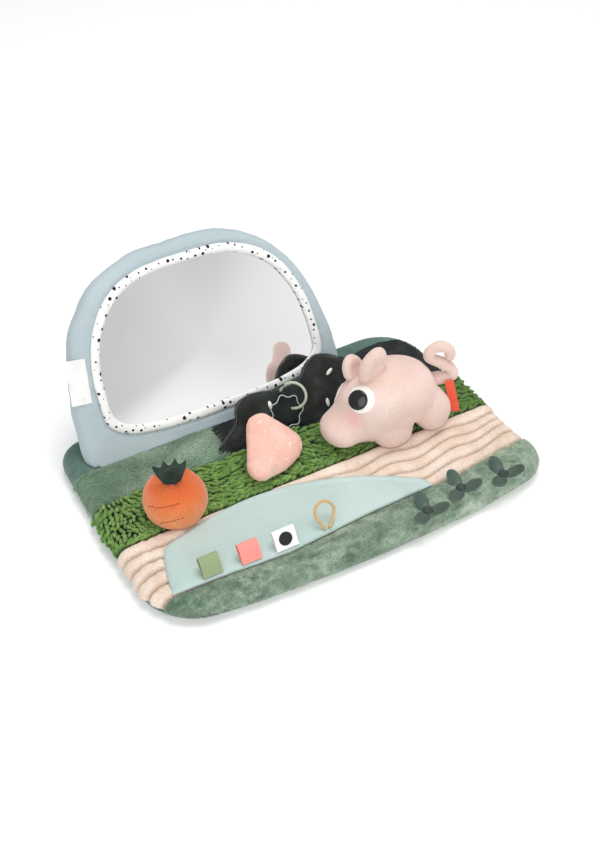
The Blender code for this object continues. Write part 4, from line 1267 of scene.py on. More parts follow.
rings = []
for ins, dep in [(6.0, 0.6), (3.2, 1.0), (1.2, 2.4), (0.2, 4.5), (0, 6.5), (0.3, 8.6), (1.4, 10.6), (3.4, 11.8), (6.0, 12.2)]:
    o = inset_outline(outline, ins)
    rings.append(np.column_stack([o[:, 0], np.full(len(o), dep), o[:, 1]]))
V, F = loft(rings)
bm = to_bmesh(V, F)
keep_side(bm, (0, 0, 0), (0, math.sin(HEDGE_LEAN), -math.cos(HEDGE_LEAN)))
bm.verts.index_update()
V = np.array([v.co for v in bm.verts], float)
F = [tuple(v.index for v in f.verts) for f in bm.faces]
bm.free()
V, F = voxel(V, F, 1.4)
V = relax(V, F, 4, 0.5)
N = normals(V, F)
h = 0.9 * fbm(V, 22, 2, 91) + 0.5 * fbm(V, 5, 2, 92)
h -= 1.0 * np.exp(-((V[:, 1] - 3.2) / 0.9) ** 2) * (1 - np.abs(N[:, 1]))


def hedge_held(p):
    return np.where((p[:, 2] < 4 + p[:, 1] * math.tan(HEDGE_LEAN)) | (np.abs(p[:, 1] - 3.2) < 1.8), 1.0, 0.0)


swell = cloth_puff(V, F, hedge_held, size=3.2, reach=1.4)
swell[:, 1] = np.where(V[:, 1] > 6.4, np.minimum(swell[:, 1], 0.3), swell[:, 1])
V = V + swell + N * h[:, None]
V[:, 2] = np.maximum(V[:, 2], V[:, 1] * math.tan(HEDGE_LEAN) + 0.05)
HEDGE_V = leaned(V, HEDGE_O, HEDGE_LEAN)
HEDGE_F = F


def hedge_material():
    s = velour("hedge_plush", (33, 36, 35), (45, 49, 47), (66, 70, 68), patch=50, nap_scale=900, sheen=0.12)
    return s.m


M["hedge"] = hedge_material()
# the nap strands use a paler copy of the hedge plush: painted highlight standing in for the grey sheen on the pile
M["hedge_nap_highlight"] = velour("hedge_nap_highlight", (50, 54, 52), (68, 73, 70), (96, 102, 98), patch=50, nap_scale=900, sheen=0.12).m
hedge = put("hedge", HEDGE_V, F, M["hedge"], "hedge", ["hedge_cushion"])

# the sewn edge, and three stitched ovals
edge_line = inset_outline(outline, -0.35)
edge_line = edge_line[edge_line[:, 1] > 7.0]
start_ = int(np.argmin(edge_line[:, 0]))
edge_line = np.roll(edge_line, -start_, 0)
order_ = np.argsort(np.arctan2(edge_line[:, 1] - 2.0, edge_line[:, 0] - 22.0))[::-1]
edge_line = edge_line[order_]
# the sewn edge is a paler tube: partly the lighter backing showing at the seam, partly painted highlight along the
# outline
M["hedge_edge_pale_and_highlight"] = plain_fabric("hedge_edge_pale_and_highlight", (84, 90, 87), 0.9, 1200, 0.0003, 0.1, 0.15)
V, F = tube_mesh(np.column_stack([edge_line[:, 0], np.full(len(edge_line), 3.0), edge_line[:, 1]]), 0.4, 8)
put("hedge_seam", leaned(V, HEDGE_O, HEDGE_LEAN), F, M["hedge_edge_pale_and_highlight"], "hedge")
HEDGE_LOCAL = tree(unleaned(HEDGE_V, HEDGE_O, HEDGE_LEAN), HEDGE_F)


def on_hedge(px, pv):
    """Depth of the hedge's front face at a point of its own plane."""
    hit = HEDGE_LOCAL.ray_cast(Vector((px, -30.0, pv)), Vector((0, 1, 0)))
    return hit[0].y if hit[0] is not None else 0.6


for i_, (px, pv, half_l, tilt_) in enumerate(((61.2, 39.8, 4.0, 58.0), (52.4, 13.3, 4.1, 3.0), (-2.8, 29.6, 3.8, -2.0)), 1):
    V, F = ball_mesh((0, 0, 0), (1.75, 0.9, half_l), (0, tilt_, 0), 40, 24)
    rib = 0.10 * np.sin(V[:, 2] * 2 * math.pi / 0.62)
    V[:, 1] -= rib * (1 - (V[:, 2] / 5.0) ** 2)
    V = V + np.array([px, on_hedge(px, pv) - 0.7, pv])
    put("hedge_stitch_%d" % i_, leaned(V, HEDGE_O, HEDGE_LEAN), F, M["tick"], "hedge")

# ----------------------------------------------------------------------------
# coral cushion
# ----------------------------------------------------------------------------
CORAL_O = np.array([-26.5, 5.5, 39.9])
CORAL_R = np.array((Matrix.Rotation(math.radians(10), 3, "Z") @ Matrix.Rotation(math.radians(4), 3, "Y")
                    @ Matrix.Rotation(math.radians(38), 3, "X")))


def rounded_triangle(side_r=33.0, corner_r=11.0, per=24, start=90.0):
    pts = []
    for k_ in range(3):
        a = math.radians(start + 120 * k_)
        cx, cy = (side_r - corner_r) * math.cos(a), (side_r - corner_r) * math.sin(a)
        for j in range(per + 1):
            b = a - math.radians(60) + math.radians(120) * j / per
            pts.append((cx + corner_r * math.cos(b), cy + corner_r * math.sin(b)))
        a2 = math.radians(start + 120 * (k_ + 1))
        nx, ny = (side_r - corner_r) * math.cos(a2), (side_r - corner_r) * math.sin(a2)
        p0 = pts[-1]
        b2 = a2 - math.radians(60)
        p1 = (nx + corner_r * math.cos(b2), ny + corner_r * math.sin(b2))
        for j in range(1, 20):
            pts.append((p0[0] + (p1[0] - p0[0]) * j / 20, p0[1] + (p1[1] - p0[1]) * j / 20))
    return np.array(pts)


def pillow(outline, half, centre=(0, 0), power=2.4, round_=0.55, steps=16):
    """A crowned closed form on an outline: V in (x, y, thickness)."""
    c_ = np.array(centre, float)
    fr_ = np.linspace(0, 1, steps + 1)[1:] ** 0.8
    rings_, n_ = [], len(outline)
    sides = []
    for sgn in (1, -1):
        for f_ in (fr_ if sgn > 0 else fr_[:-1][::-1]):
            p = c_ + (outline - c_) * f_
            z_ = half * (1 - f_ ** power) ** round_ * sgn
            sides.append(np.column_stack([p, np.full(n_, z_)]))
    V_ = np.concatenate(sides + [[[c_[0], c_[1], half]], [[c_[0], c_[1], -half]]])
    R_ = len(sides)
    F_ = [(i * n_ + j, i * n_ + (j + 1) % n_, (i + 1) * n_ + (j + 1) % n_, (i + 1) * n_ + j)
          for i in range(R_ - 1) for j in range(n_)]
    t_, b_ = len(V_) - 2, len(V_) - 1
    F_ += [(t_, j, (j + 1) % n_) for j in range(n_)]
    F_ += [(b_, (R_ - 1) * n_ + (j + 1) % n_, (R_ - 1) * n_ + j) for j in range(n_)]
    return V_, outward(V_, F_)


tri = rounded_triangle(33.0, 12.5)
tri[:, 1] += 7.0 * np.clip(tri[:, 0] / 24.0, 0, 1) ** 1.3
V, F = pillow(tri, 10.5)
V, F = voxel(V, F, 1.1)
V = relax(V, F, 3, 0.5)
N = normals(V, F)
swell = cloth_puff(V, F, lambda p: np.where(np.abs(p[:, 2]) < 1.6, 1.0, 0.0), size=3.0, larger=0.05, reach=1.6)
V = V + swell + N * (0.5 * fbm(V, 14, 2, 101) + 0.14 * fbm(V, 2.2, 2, 102))[:, None]
V = V - N * (0.5 * np.exp(-(V[:, 2] / 0.7) ** 2))[:, None]
CORAL_FLAT = tree(V, F)
V = V @ CORAL_R.T + CORAL_O
V[:, 2] = np.maximum(V[:, 2], 20.4)
CORAL_V, CORAL_F = V, F
coral = put("coral_pillow", V, F, M["coral"], "coral", ["coral_cushion"])

# small stitched ticks scattered on its upper face
for i_, (px, py, turn_) in enumerate(((-4.0, 15.0, 70.0), (12.5, -4.0, 20.0), (-1.5, -2.5, 110.0), (-12.0, -9.0, 65.0),
                                      (3.0, -14.5, 165.0), (-2.0, 24.5, 10.0)), 1):
    for face_ in (-1, 1):
        hit = CORAL_FLAT.ray_cast(Vector((px, py, 40.0 * face_)), Vector((0, 0, -face_)))
        if hit[0] is None:
            continue
        V, F = ball_mesh((0, 0, 0), (2.2, 0.55, 0.45), (0, 0, turn_), 20, 12)
        V = V + np.array([px, py, hit[0].z + 0.05 * face_])
        put("coral_tick_%d_%d" % (i_, face_ > 0), V @ CORAL_R.T + CORAL_O, F, M["coral_tick"], "coral")

# ----------------------------------------------------------------------------
# carrot
# ----------------------------------------------------------------------------
CARROT = np.array([-123.5, -6.0, 0.0])
profile = smooth_loop([(0.4, 56.4), (6.0, 58.3), (12.5, 57.8), (18.5, 55.6), (22.8, 51.0), (25.5, 45.0), (26.4, 38.5),
                       (25.6, 31.8), (23.6, 26.0), (21.2, 22.4), (17.2, 20.8)], 5, closed=False)
a = np.linspace(0, 2 * math.pi, 96, endpoint=False)
rings = [np.column_stack([r_ * np.cos(a), r_ * np.sin(a), np.full(96, z_)]) for r_, z_ in profile]
V, F = loft(rings)
V, F = voxel(V, F, 1.1)
V = relax(V, F, 3, 0.5)
N = normals(V, F)
th = np.arctan2(V[:, 1], V[:, 0])
gore = np.zeros(len(V))
for k_ in range(4):
    ang = math.radians(-72 + 90 * k_)
    dd = np.abs((th - ang + math.pi) % (2 * math.pi) - math.pi) * np.hypot(V[:, 0], V[:, 1])
    gore += np.exp(-(dd / 1.5) ** 2) * step(30, 48, V[:, 2])
dimple = np.abs((th - math.radians(-95) + math.pi) % (2 * math.pi) - math.pi) * np.hypot(V[:, 0], V[:, 1])
gore += 1.6 * np.exp(-(dimple / 1.2) ** 2) * step(46, 52, V[:, 2]) * step(64, 60, V[:, 2])
swell = cloth_puff(V, F, lambda p: np.where(p[:, 2] < 22.5, 1.0, 0.0), size=4.0, larger=0.05, reach=1.0)
swell[:, 2] = np.where(V[:, 2] < 26, 0.0, swell[:, 2])
V = V + swell + N * (0.6 * fbm(V, 18, 2, 111) + 0.14 * fbm(V, 2.0, 2, 112) - 0.9 * gore)[:, None]
V += CARROT
V[:, 2] = np.maximum(V[:, 2], 20.7)
CARROT_V, CARROT_F = V, F
CARROT_T = tree(V, F)
for i_, (a0, z0, a1, z1) in enumerate(((-172.0, 45.0, -98.0, 53.0), (-146.0, 33.0, -98.0, 40.8)), 1):
    # a row of short dark stitches across the side
    along_ = [math.radians(a0 + (a1 - a0) * t_ / 60) for t_ in range(61)]
    height_ = [z0 + (z1 - z0) * math.sin(math.pi / 2 * t_ / 60) for t_ in range(61)]
    row_ = []
    for a_, z_ in zip(along_, height_):
        d_ = Vector((math.cos(a_), math.sin(a_), 0))
        hit = CARROT_T.ray_cast(Vector(CARROT) + Vector((0, 0, z_)) + d_ * 60, -d_)
        row_.append(np.array(hit[0]) if hit[0] is not None else np.array(CARROT) + np.array([d_.x * 27, d_.y * 27, z_]))
    row_ = np.array(row_)
    cum = np.concatenate([[0], np.cumsum(np.linalg.norm(np.diff(row_, axis=0), axis=1))])
    parts_, s0 = [], 0.8
    while s0 + 1.9 < cum[-1]:
        seg_ = np.array([[np.interp(s0 + 1.9 * q_ / 4, cum, row_[:, c_]) for c_ in range(3)] for q_ in range(5)])
        parts_.append(tube_mesh(*rounded_ends(seg_, 0.42, 2), 6))
        s0 += 3.4
    V, F = join(parts_)
    put("carrot_stitches_%d" % i_, V, F, M["carrot_thread"], "carrot")
V, F = CARROT_V, CARROT_F
carrot = put("carrot", V, F, M["carrot"], "carrot", ["carrot_body"])

crown = smooth_loop([(-8.5, -1.0), (-13.0, 8.0), (-16.5, 19.5), (-10.0, 18.0), (-5.5, 25.0), (-1.0, 19.0), (4.5, 24.5),
                     (8.5, 18.0), (15.5, 18.5), (13.0, 8.0), (9.0, -1.0), (0, -2.5)], 1)


def crown_points():
    """Felt crown: pointed tips, scalloped between, rounded foot."""
    pts = []
    tips = [(-16.2, 19.6), (-5.6, 25.6), (5.0, 25.2), (15.2, 19.4)]
    valleys = [(-9.6, 17.4), (-0.4, 18.6), (9.6, 17.0)]
    pts += [(-6.0, -2.0), (-9.8, 4.0), (-13.8, 11.0)]
    for i_, t_ in enumerate(tips):
        pts.append(t_)
        if i_ < 3:
            v_ = valleys[i_]
            pts.append((v_[0] - 1.6, v_[1] + 0.9))
            pts.append(v_)
            pts.append((v_[0] + 1.6, v_[1] + 0.9))
    pts += [(13.8, 11.5), (10.8, 4.8), (7.0, -2.0)]
    return np.array(pts)


o = crown_points() * np.array([0.90, 1.0])
rings = []
for off in (-1.0, 1.0):
    rings.append(np.column_stack([o[:, 0], np.full(len(o), off), o[:, 1]]))
V, F = loft(rings)
bend = 0.010
V[:, 1] += bend * V[:, 0] ** 2 - 1.6
turn = math.radians(-14)
V = np.column_stack([V[:, 0] * math.cos(turn) - V[:, 1] * math.sin(turn), V[:, 0] * math.sin(turn) + V[:, 1] * math.cos(turn),
                     V[:, 2]])
V += CARROT + np.array([-2.0, 0.0, 58.5])
leaves = put("carrot_crown", V, F, M["felt"], "carrot", ["carrot_leaves"], smooth=False)
bev = leaves.modifiers.new("edge", "BEVEL")
bev.width = 0.0003
bev.segments = 2

# ----------------------------------------------------------------------------
# pig
# ----------------------------------------------------------------------------
HEAD_C, HEAD_R = (65.4, 0.0, 49.3), (27.5, 24.0, 31.9)
PIG_PARTS = [
    (HEAD_C, HEAD_R, None, 0),
    ((91.1, -1.3, 59.7), (41.2, 33.1, 30.2), None, 14.0),
    ((37.9, -1.0, 39.0), (15.3, 20.4, 12.5), None, 14.0),
    ((82.7, -21.6, 31.0), (17.8, 12.0, 14.4), None, 9.5),
    ((82.7, 11.1, 32.7), (17.0, 12.0, 13.1), None, 8.0),
    ((123.6, -18.4, 38.4), (17.0, 16.6, 20.6), None, 10.0),
    ((124.5, 9.8, 39.5), (16.3, 17.4, 20.5), None, 9.0),
]


def pig_field(P):
    d = None
    for c_, r_, rot_, k_ in PIG_PARTS:
        e = ell(P, c_, r_, rot_)
        d = e if d is None else smin(d, e, k_)
    return d


V, F = join([ball_mesh(c_, r_, rot_) for c_, r_, rot_, _ in PIG_PARTS])
V, F = voxel(V, F, 1.3)
V = settle(V, pig_field)
V = relax(V, F, 2, 0.5)
N = normals(V, F)
swell = cloth_puff(V, F, lambda p: np.where(p[:, 2] < 24, 1.0, 0.0), size=5.0, larger=0.04, reach=0.8)
# seams: down the middle of the back, and where each leg joins the belly
body_seam = np.exp(-((V[:, 1] + 1.0) / 1.0) ** 2) * step(0.35, 0.75, N[:, 2]) * step(62, 76, V[:, 0])
leg_gap = np.zeros(len(V))
trunk = np.minimum(ell(V, *PIG_PARTS[1][:2]), ell(V, *PIG_PARTS[0][:2]))
for c_, r_, rot_, _ in PIG_PARTS[3:]:
    leg_gap = np.maximum(leg_gap, np.exp(-((ell(V, c_, r_) - trunk) / 1.6) ** 2) * step(-9, -3, -np.abs(ell(V, c_, r_))))
V = V + swell + N * (0.7 * fbm(V, 22, 2, 121) + 0.10 * fbm(V, 2.2, 2, 122) - 0.5 * body_seam - 0.7 * leg_gap)[:, None]
V[:, 2] = np.maximum(V[:, 2], 20.6)
PIG_V, PIG_F = V, F


def pig_material():
    s = Mat("pink_velour", (241, 209, 200), 0.95, sheen=0.3)
    big = s.noise(28.0, 3.0, distort=0.5)
    fine = s.noise(1000.0, 2.0, 0.6)
    c = s.ramp(big, [(0.3, (228, 199, 188)), (0.55, (233, 207, 197)), (0.75, (237, 215, 206))])
    blush = s.math("MULTIPLY_ADD", s.distance(tuple((np.array([44.0, -15.0, 58.6]) + SHIFT) * MM)), -120.0, 1.35, clamp=True)
    c = s.mix(s.math("MULTIPLY", blush, 0.5), c, (243, 178, 172))
    s.colour(s.mix(0.5, c, s.ramp(fine, [(0.3, (220, 212, 208)), (0.6, (255, 255, 255))]), "MULTIPLY"))
    s.bump(fine, 0.5, 0.0004)
    return s.m


M["pig"] = pig_material()
pig = put("pig", V, F, M["pig"], "pig", ["pig_body"])
PIG_T = tree(V, F)

for name, c_, r_, rot_ in (("near", (70.5, -1.0, 97.5), (14.6, 8.0, 18.6), (8, 14, 12)),
                           ("far", (59.5, 14.0, 89.5), (10.5, 6.5, 12.5), (-14, -12, 10))):
    V, F = ball_mesh((0, 0, 0), r_, None, 40, 26)
    f_ = V[:, 2] / r_[2]
    V[:, 0] *= 1 - 0.18 * f_
    V[:, 1] += 0.0
    dent = np.exp(-((V[:, 0] / (0.5 * r_[0])) ** 2 + (V[:, 2] / (0.55 * r_[2])) ** 2)) * (V[:, 1] < 0)
    V[:, 1] += 0.55 * r_[1] * dent
    N = normals(V, np.array([list(g) + [g[-1]] if len(g) == 3 else list(g) for g in F]))
    V = V + N * (0.4 * fbm(V + np.array(c_), 9, 2, 131))[:, None]
    Q = np.array((Matrix.Rotation(math.radians(rot_[2]), 3, "Z") @ Matrix.Rotation(math.radians(rot_[1]), 3, "Y")
                  @ Matrix.Rotation(math.radians(rot_[0]), 3, "X")))
    V = V @ Q.T + np.array(c_)
    put("ear_" + name, V, F, M["pig"], "pig", ["pig_ear_" + name])

tail = smooth_loop([(133.5, -6.3, 61.5), (140.3, -10.2, 62.6), (146.7, -13.9, 66.1), (145.0, -12.9, 73.5), (136.9, -8.2, 79.7),
                    (128.9, -3.6, 84.7), (129.5, -4.0, 93.1), (136.5, -8.0, 96.9), (142.8, -11.6, 93.6), (144.0, -12.4, 87.4)],
                   8, closed=False)
way = np.linspace(0, 1, len(tail))
pts, rad = rounded_ends(tail, 5.8 - 1.0 * way + 0.3 * np.sin(way * 34))
V, F = tube_mesh(pts, rad, 22)
V = V + 0.25 * fbm(V, 5.0, 2, 127)[:, None]
put("tail", V, F, M["pig"], "pig", ["pig_tail"])


def eye_material(name, base, radius, stitched):
    s = Mat(name, base, 0.75 if stitched else 0.16, sheen=0.1 if stitched else 0.0, spec=0.4 if stitched else 0.6)
    fine = s.noise(1600.0, 2.0)
    s.colour(s.mix(0.35, tuple(base), s.ramp(fine, [(0.3, (215, 215, 215)), (0.6, (255, 255, 255))]), "MULTIPLY"))
    s.bump(fine, 0.4 if stitched else 0.06, 0.0002)
    return s.m


M["eye"] = eye_material("eye_white_felt", (246, 243, 236), 11.5, True)
M["pupil"] = eye_material("eye_black", (16, 16, 18), 8.5, False)


def disc_on(centre, direction, radius, base, thick, name, mat, body, replaces, shift=(0, 0), n=64):
    """A flat patch laid on the pig's surface around the point that a ray from the head's middle meets."""
    d = Vector(direction).normalized()
    q = d.to_track_quat("Z", "Y")
    ax, ay = q @ Vector((1, 0, 0)), q @ Vector((0, 1, 0))
    rings_ = []
    levels = [(0.02, 1.0), (0.35, 1.0), (0.7, 1.0), (0.9, 0.92), (0.97, 0.7), (1.0, 0.25), (1.0, -0.6)]
    for f_, hgt in levels:
        ring_ = []
        for k_ in range(n):
            t_ = 2 * math.pi * k_ / n
            r_ = radius * f_
            off = ax * (r_ * math.cos(t_) + shift[0]) + ay * (r_ * math.sin(t_) + shift[1])
            start_ = Vector(centre) + d * 60 + off
            hit = PIG_T.ray_cast(start_, -d)
            p_ = hit[0] if hit[0] is not None else Vector(centre) + d * 27 + off
            ring_.append(np.array(p_ + d * (base + thick * hgt)))
        rings_.append(ring_)
    V_, F_ = loft(rings_)
    return put(name, V_, F_, mat, body, replaces)


for side_, white_at, white_way, black_at, black_way in (
        ("near", (52.0, -12.5, 75.2), (-0.61, -0.48, 0.64), (50.4, -10.6, 74.0), (-0.66, -0.42, 0.62)),
        ("far", (53.0, 18.5, 58.5), (-0.50, 0.84, 0.20), (52.0, 19.0, 58.0), (-0.50, 0.84, 0.20))):
    disc_on(white_at, white_way, 12.0 if side_ == "near" else 9.5, 0.15, 0.7, "eye_" + side_, M["eye"], "pig",
            ["pig_eye_" + side_])
    disc_on(black_at, black_way, 8.8 if side_ == "near" else 7.0, 0.7, 1.3, "pupil_" + side_, M["pupil"], "pig",
            ["pig_pupil_" + side_])

rings = []
for v_ in np.linspace(-18, 18, 19):
    sag_ = 0.5 * math.sin(v_ / 7.0)
    ring = [(u_, -0.35 + sag_ * 0.6, v_) for u_ in np.linspace(-4, 4, 7)]
    rings.append(ring + [(p[0], p[1] + 0.7, p[2]) for p in reversed(ring)])
V, F = loft(rings)
Q = np.array((Matrix.Rotation(math.radians(-30), 3, "Z") @ Matrix.Rotation(math.radians(-14.0), 3, "Y")))
V = V @ Q.T + np.array([143.0, -22.6, 48.5])
put("rump_tag", V, F, M["tag"], "pig", ["pig_tag"], sharp=40)

# ----------------------------------------------------------------------------
# flap, tabs, loop
# ----------------------------------------------------------------------------
pond_top = smooth_loop([(-165, -85.0), (-162, -70), (-156, -50), (-150, -38.5), (-138, -33.5), (-107, -25.5), (-72, -21.5),
                        (-44, -22.5), (-17, -27.5), (12, -36.5), (40, -50), (62, -64), (77, -76), (80, -85.0)], 10, closed=False)
n_t = len(pond_top)
front_x = np.linspace(-165, 80, n_t)
pond_front = np.column_stack([front_x, seam_y(front_x) - 0.4])
rows = 26
grid = np.stack([pond_top * (k_ / rows) + pond_front * (1 - k_ / rows) for k_ in range(rows + 1)])  # rows+1, n_t, 2


def flap_piece():
    top_, bot_ = [], []
    for r_ in range(rows + 1):
        p = grid[r_]
        gap_top = np.linalg.norm(pond_top - p, axis=1)
        edge_ = np.minimum.reduce([np.linalg.norm(pond_top[None] - p[:, None], axis=2).min(1), p[:, 1] - seam_y(p[:, 0]) + 1])
        e_ = np.clip(edge_ / 2.8, 0, 1)
        rim_ = np.linalg.norm(pond_top[None] - p[:, None], axis=2).min(1)
        roundd = np.sqrt(np.clip(1 - (1 - e_) ** 2, 0, 1))
        q3 = np.column_stack([p, np.zeros(len(p))])
        puff_ = 1.5 * (1 - np.exp(-edge_ / 9.0)) + 0.55 * fbm(q3, 34, 2, 141) * np.clip(edge_ / 8, 0, 1)
        puff_ += 0.5 * np.exp(-(p[:, 1] - seam_y(p[:, 0])) / 7.0) * vnoise(np.column_stack([p[:, 0] / 6, p[:, 1] / 30, p[:, 0] * 0]), 142) * e_
        puff_ += 0.8 * np.exp(-((rim_ - 4.2) / 2.4) ** 2) * e_ - 0.45 * np.exp(-((rim_ - 8.0) / 1.3) ** 2) * e_
        top_.append(np.column_stack([p, 21.3 + 1.9 * roundd + puff_]))
        bot_.append(np.column_stack([p, 21.3 - 0.9 * roundd]))
    T_, B_ = np.array(top_), np.array(bot_)
    V_ = np.concatenate([T_.reshape(-1, 3), B_.reshape(-1, 3)])
    n0 = (rows + 1) * n_t
    F_ = []
    for r_ in range(rows):
        for j in range(n_t - 1):
            a_, b_, c_, d_ = r_ * n_t + j, r_ * n_t + j + 1, (r_ + 1) * n_t + j + 1, (r_ + 1) * n_t + j
            F_.append((a_, b_, c_, d_))
            F_.append((n0 + d_, n0 + c_, n0 + b_, n0 + a_))
    for j in range(n_t - 1):
        F_.append((j + 1, j, n0 + j, n0 + j + 1))
        a_ = rows * n_t + j
        F_.append((a_, a_ + 1, n0 + a_ + 1, n0 + a_))
    for r_ in range(rows):
        a_, b_ = r_ * n_t, (r_ + 1) * n_t
        F_.append((a_, b_, n0 + b_, n0 + a_))
        a_, b_ = r_ * n_t + n_t - 1, (r_ + 1) * n_t + n_t - 1
        F_.append((b_, a_, n0 + a_, n0 + b_))
    me = raw_mesh("tmp", V_, F_)
    bm_ = bmesh.new()
    bm_.from_mesh(me)
    bpy.data.meshes.remove(me)
    bmesh.ops.remove_doubles(bm_, verts=bm_.verts, dist=0.02)
    bmesh.ops.recalc_face_normals(bm_, faces=bm_.faces)
    bm_.verts.index_update()
    V_ = np.array([v.co for v in bm_.verts], float)
    F_ = [tuple(v.index for v in f.verts) for f in bm_.faces]
    bm_.free()
    return V_, F_


V, F = flap_piece()
flap = put("pond", V, F, M["satin"], "pond", ["pond_flap"], sharp=70)
POND_V, POND_F = V, F

TAB_TILT = math.radians(48.0)
TAB_Z = 23.2
for name, x_, width, length, mat, node, slot_, body in (
        ("tab_green", -129.0, 17.0, 17.0, M["ribbon_green"], "ribbon_tab_green", "green_ribbon", "tab_green"),
        ("tab_coral", -95.5, 17.5, 17.0, M["ribbon_coral"], "ribbon_tab_coral", "coral_ribbon", "tab_coral"),
        ("tab_white", -64.0, 20.0, 16.8, M["ribbon_white"], "ribbon_tab_white", "white_ribbon", "tab_white")):
    # the ribbon goes up, turns over at the top and comes back down behind itself
    path, gap_ = [], 2.2
    for k_ in range(17):
        path.append((length - gap_ * 1.0) * k_ / 16)
    line = [(s_, -gap_ * float(0.22 + 0.78 * step(0.12 * length, 0.80 * length, s_))) for s_ in path]
    for k_ in range(1, 12):
        t_ = math.pi * k_ / 12
        line.append((length - gap_ + gap_ * math.sin(t_), -gap_ * math.cos(t_)))
    line += [(s_, gap_ * float(0.22 + 0.78 * step(0.12 * length, 0.80 * length, s_))) for s_ in path[::-1]]
    line = np.array(line)
    tang_ = np.gradient(line, axis=0)
    tang_ /= np.linalg.norm(tang_, axis=1)[:, None]
    nrm_ = np.column_stack([tang_[:, 1], -tang_[:, 0]])
    along_ = np.concatenate([[0], np.cumsum(np.linalg.norm(np.diff(line, axis=0), axis=1))])
    rings, uvs = [], []
    cols = np.linspace(-0.5, 0.5, 9)
    for i_ in range(len(line)):
        sag_ = 0.35 * math.sin(math.pi * min(1, line[i_][0] / length))
        outer = [(c_ * width, line[i_][0], line[i_][1] + 0.0 * sag_) for c_ in cols]
        inner_ = [(c_ * width, line[i_][0] + nrm_[i_][0] * 0.45, line[i_][1] + nrm_[i_][1] * 0.45) for c_ in cols[::-1]]
        rings.append(outer + inner_)
        v_ = along_[i_] / along_[-1]
        uvs += [(c_ + 0.5, v_) for c_ in cols] + [(c_ + 0.5, v_) for c_ in cols[::-1]]
    V, F = loft(rings)
    # local (x, along, thickness) to the mat's frame: along leans up by the tilt
    c, s = math.cos(TAB_TILT), math.sin(TAB_TILT)
    V = np.column_stack([V[:, 0], V[:, 1] * c - (-V[:, 2]) * s * -1, V[:, 1] * s + V[:, 2] * c * -1 * -1])
    V = V + np.array([x_, float(seam_y(x_)) + 1.5, TAB_Z + 0.9])
    ribbon = put(name, V, F, mat, body, [node], uv=uvs, sharp=50)

loop_pts = smooth_loop([(-1.8, 0.5, 0), (-4.6, 8.0, 0), (-6.4, 15.5, 0), (-3.6, 22.0, 0), (2.8, 24.8, 0), (9.0, 21.8, 0),
                        (11.0, 15.0, 0), (6.8, 7.6, 0), (1.8, 0.5, 0)], 10, closed=False)
loop_pts = loop_pts * np.array([1.0, 0.92, 1.0]) + np.array([1.0, 0.0, 0.0])
c, s = math.cos(TAB_TILT), math.sin(TAB_TILT)
L_O = np.array([-26.5, float(seam_y(-26.5)) + 1.5, TAB_Z + 1.4])
loop_line = np.column_stack([loop_pts[:, 0], loop_pts[:, 1] * c, loop_pts[:, 1] * s]) + L_O


def braid_material():
    s_ = Mat("tan_cord", (226, 190, 132), 0.75, sheen=0.15)
    u = s_.xyz(s_.co.outputs["UV"])
    k1 = s_.math("SINE", s_.math("ADD", s_.math("MULTIPLY", u[0], 2 * math.pi * 3), s_.math("MULTIPLY", u[1], 2 * math.pi * 42)))
    k2 = s_.math("SINE", s_.math("SUBTRACT", s_.math("MULTIPLY", u[0], 2 * math.pi * 3), s_.math("MULTIPLY", u[1], 2 * math.pi * 42)))
    hgt = s_.math("MAXIMUM", k1, k2)
    # the low parts between the braided strands are darker: painted shade
    s_.colour(s_.mix(0.7, (228, 192, 134), s_.ramp(s_.math("MULTIPLY_ADD", hgt, 0.5, 0.5), [(0.3, (170, 150, 125)), (0.9, (255, 255, 255))]), "MULTIPLY"))
    s_.bump(hgt, 0.6, 0.0003)
    return s_.m


M["braid"] = braid_material()
V, F = tube_mesh(loop_line, 1.3, 14)
uv = [(j / 14, i / len(loop_line)) for i in range(len(loop_line)) for j in range(14)]
loop_ob = put("hanging_loop", V, F, M["braid"], "loop", ["cord_loop"], uv=uv)

# ----------------------------------------------------------------------------
# trefoil leaves on their rivets
# ----------------------------------------------------------------------------
def silicone_material():
    s_ = Mat("green_silicone", (92, 116, 102), 0.5, spec=0.45)
    n_ = s_.noise(120.0, 2.0)
    s_.colour(s_.ramp(n_, [(0.3, (64, 84, 74)), (0.7, (74, 94, 84))]))
    s_.bump(s_.noise(1500.0, 2.0), 0.15, 0.0002)
    return s_.m


M["silicone"] = silicone_material()


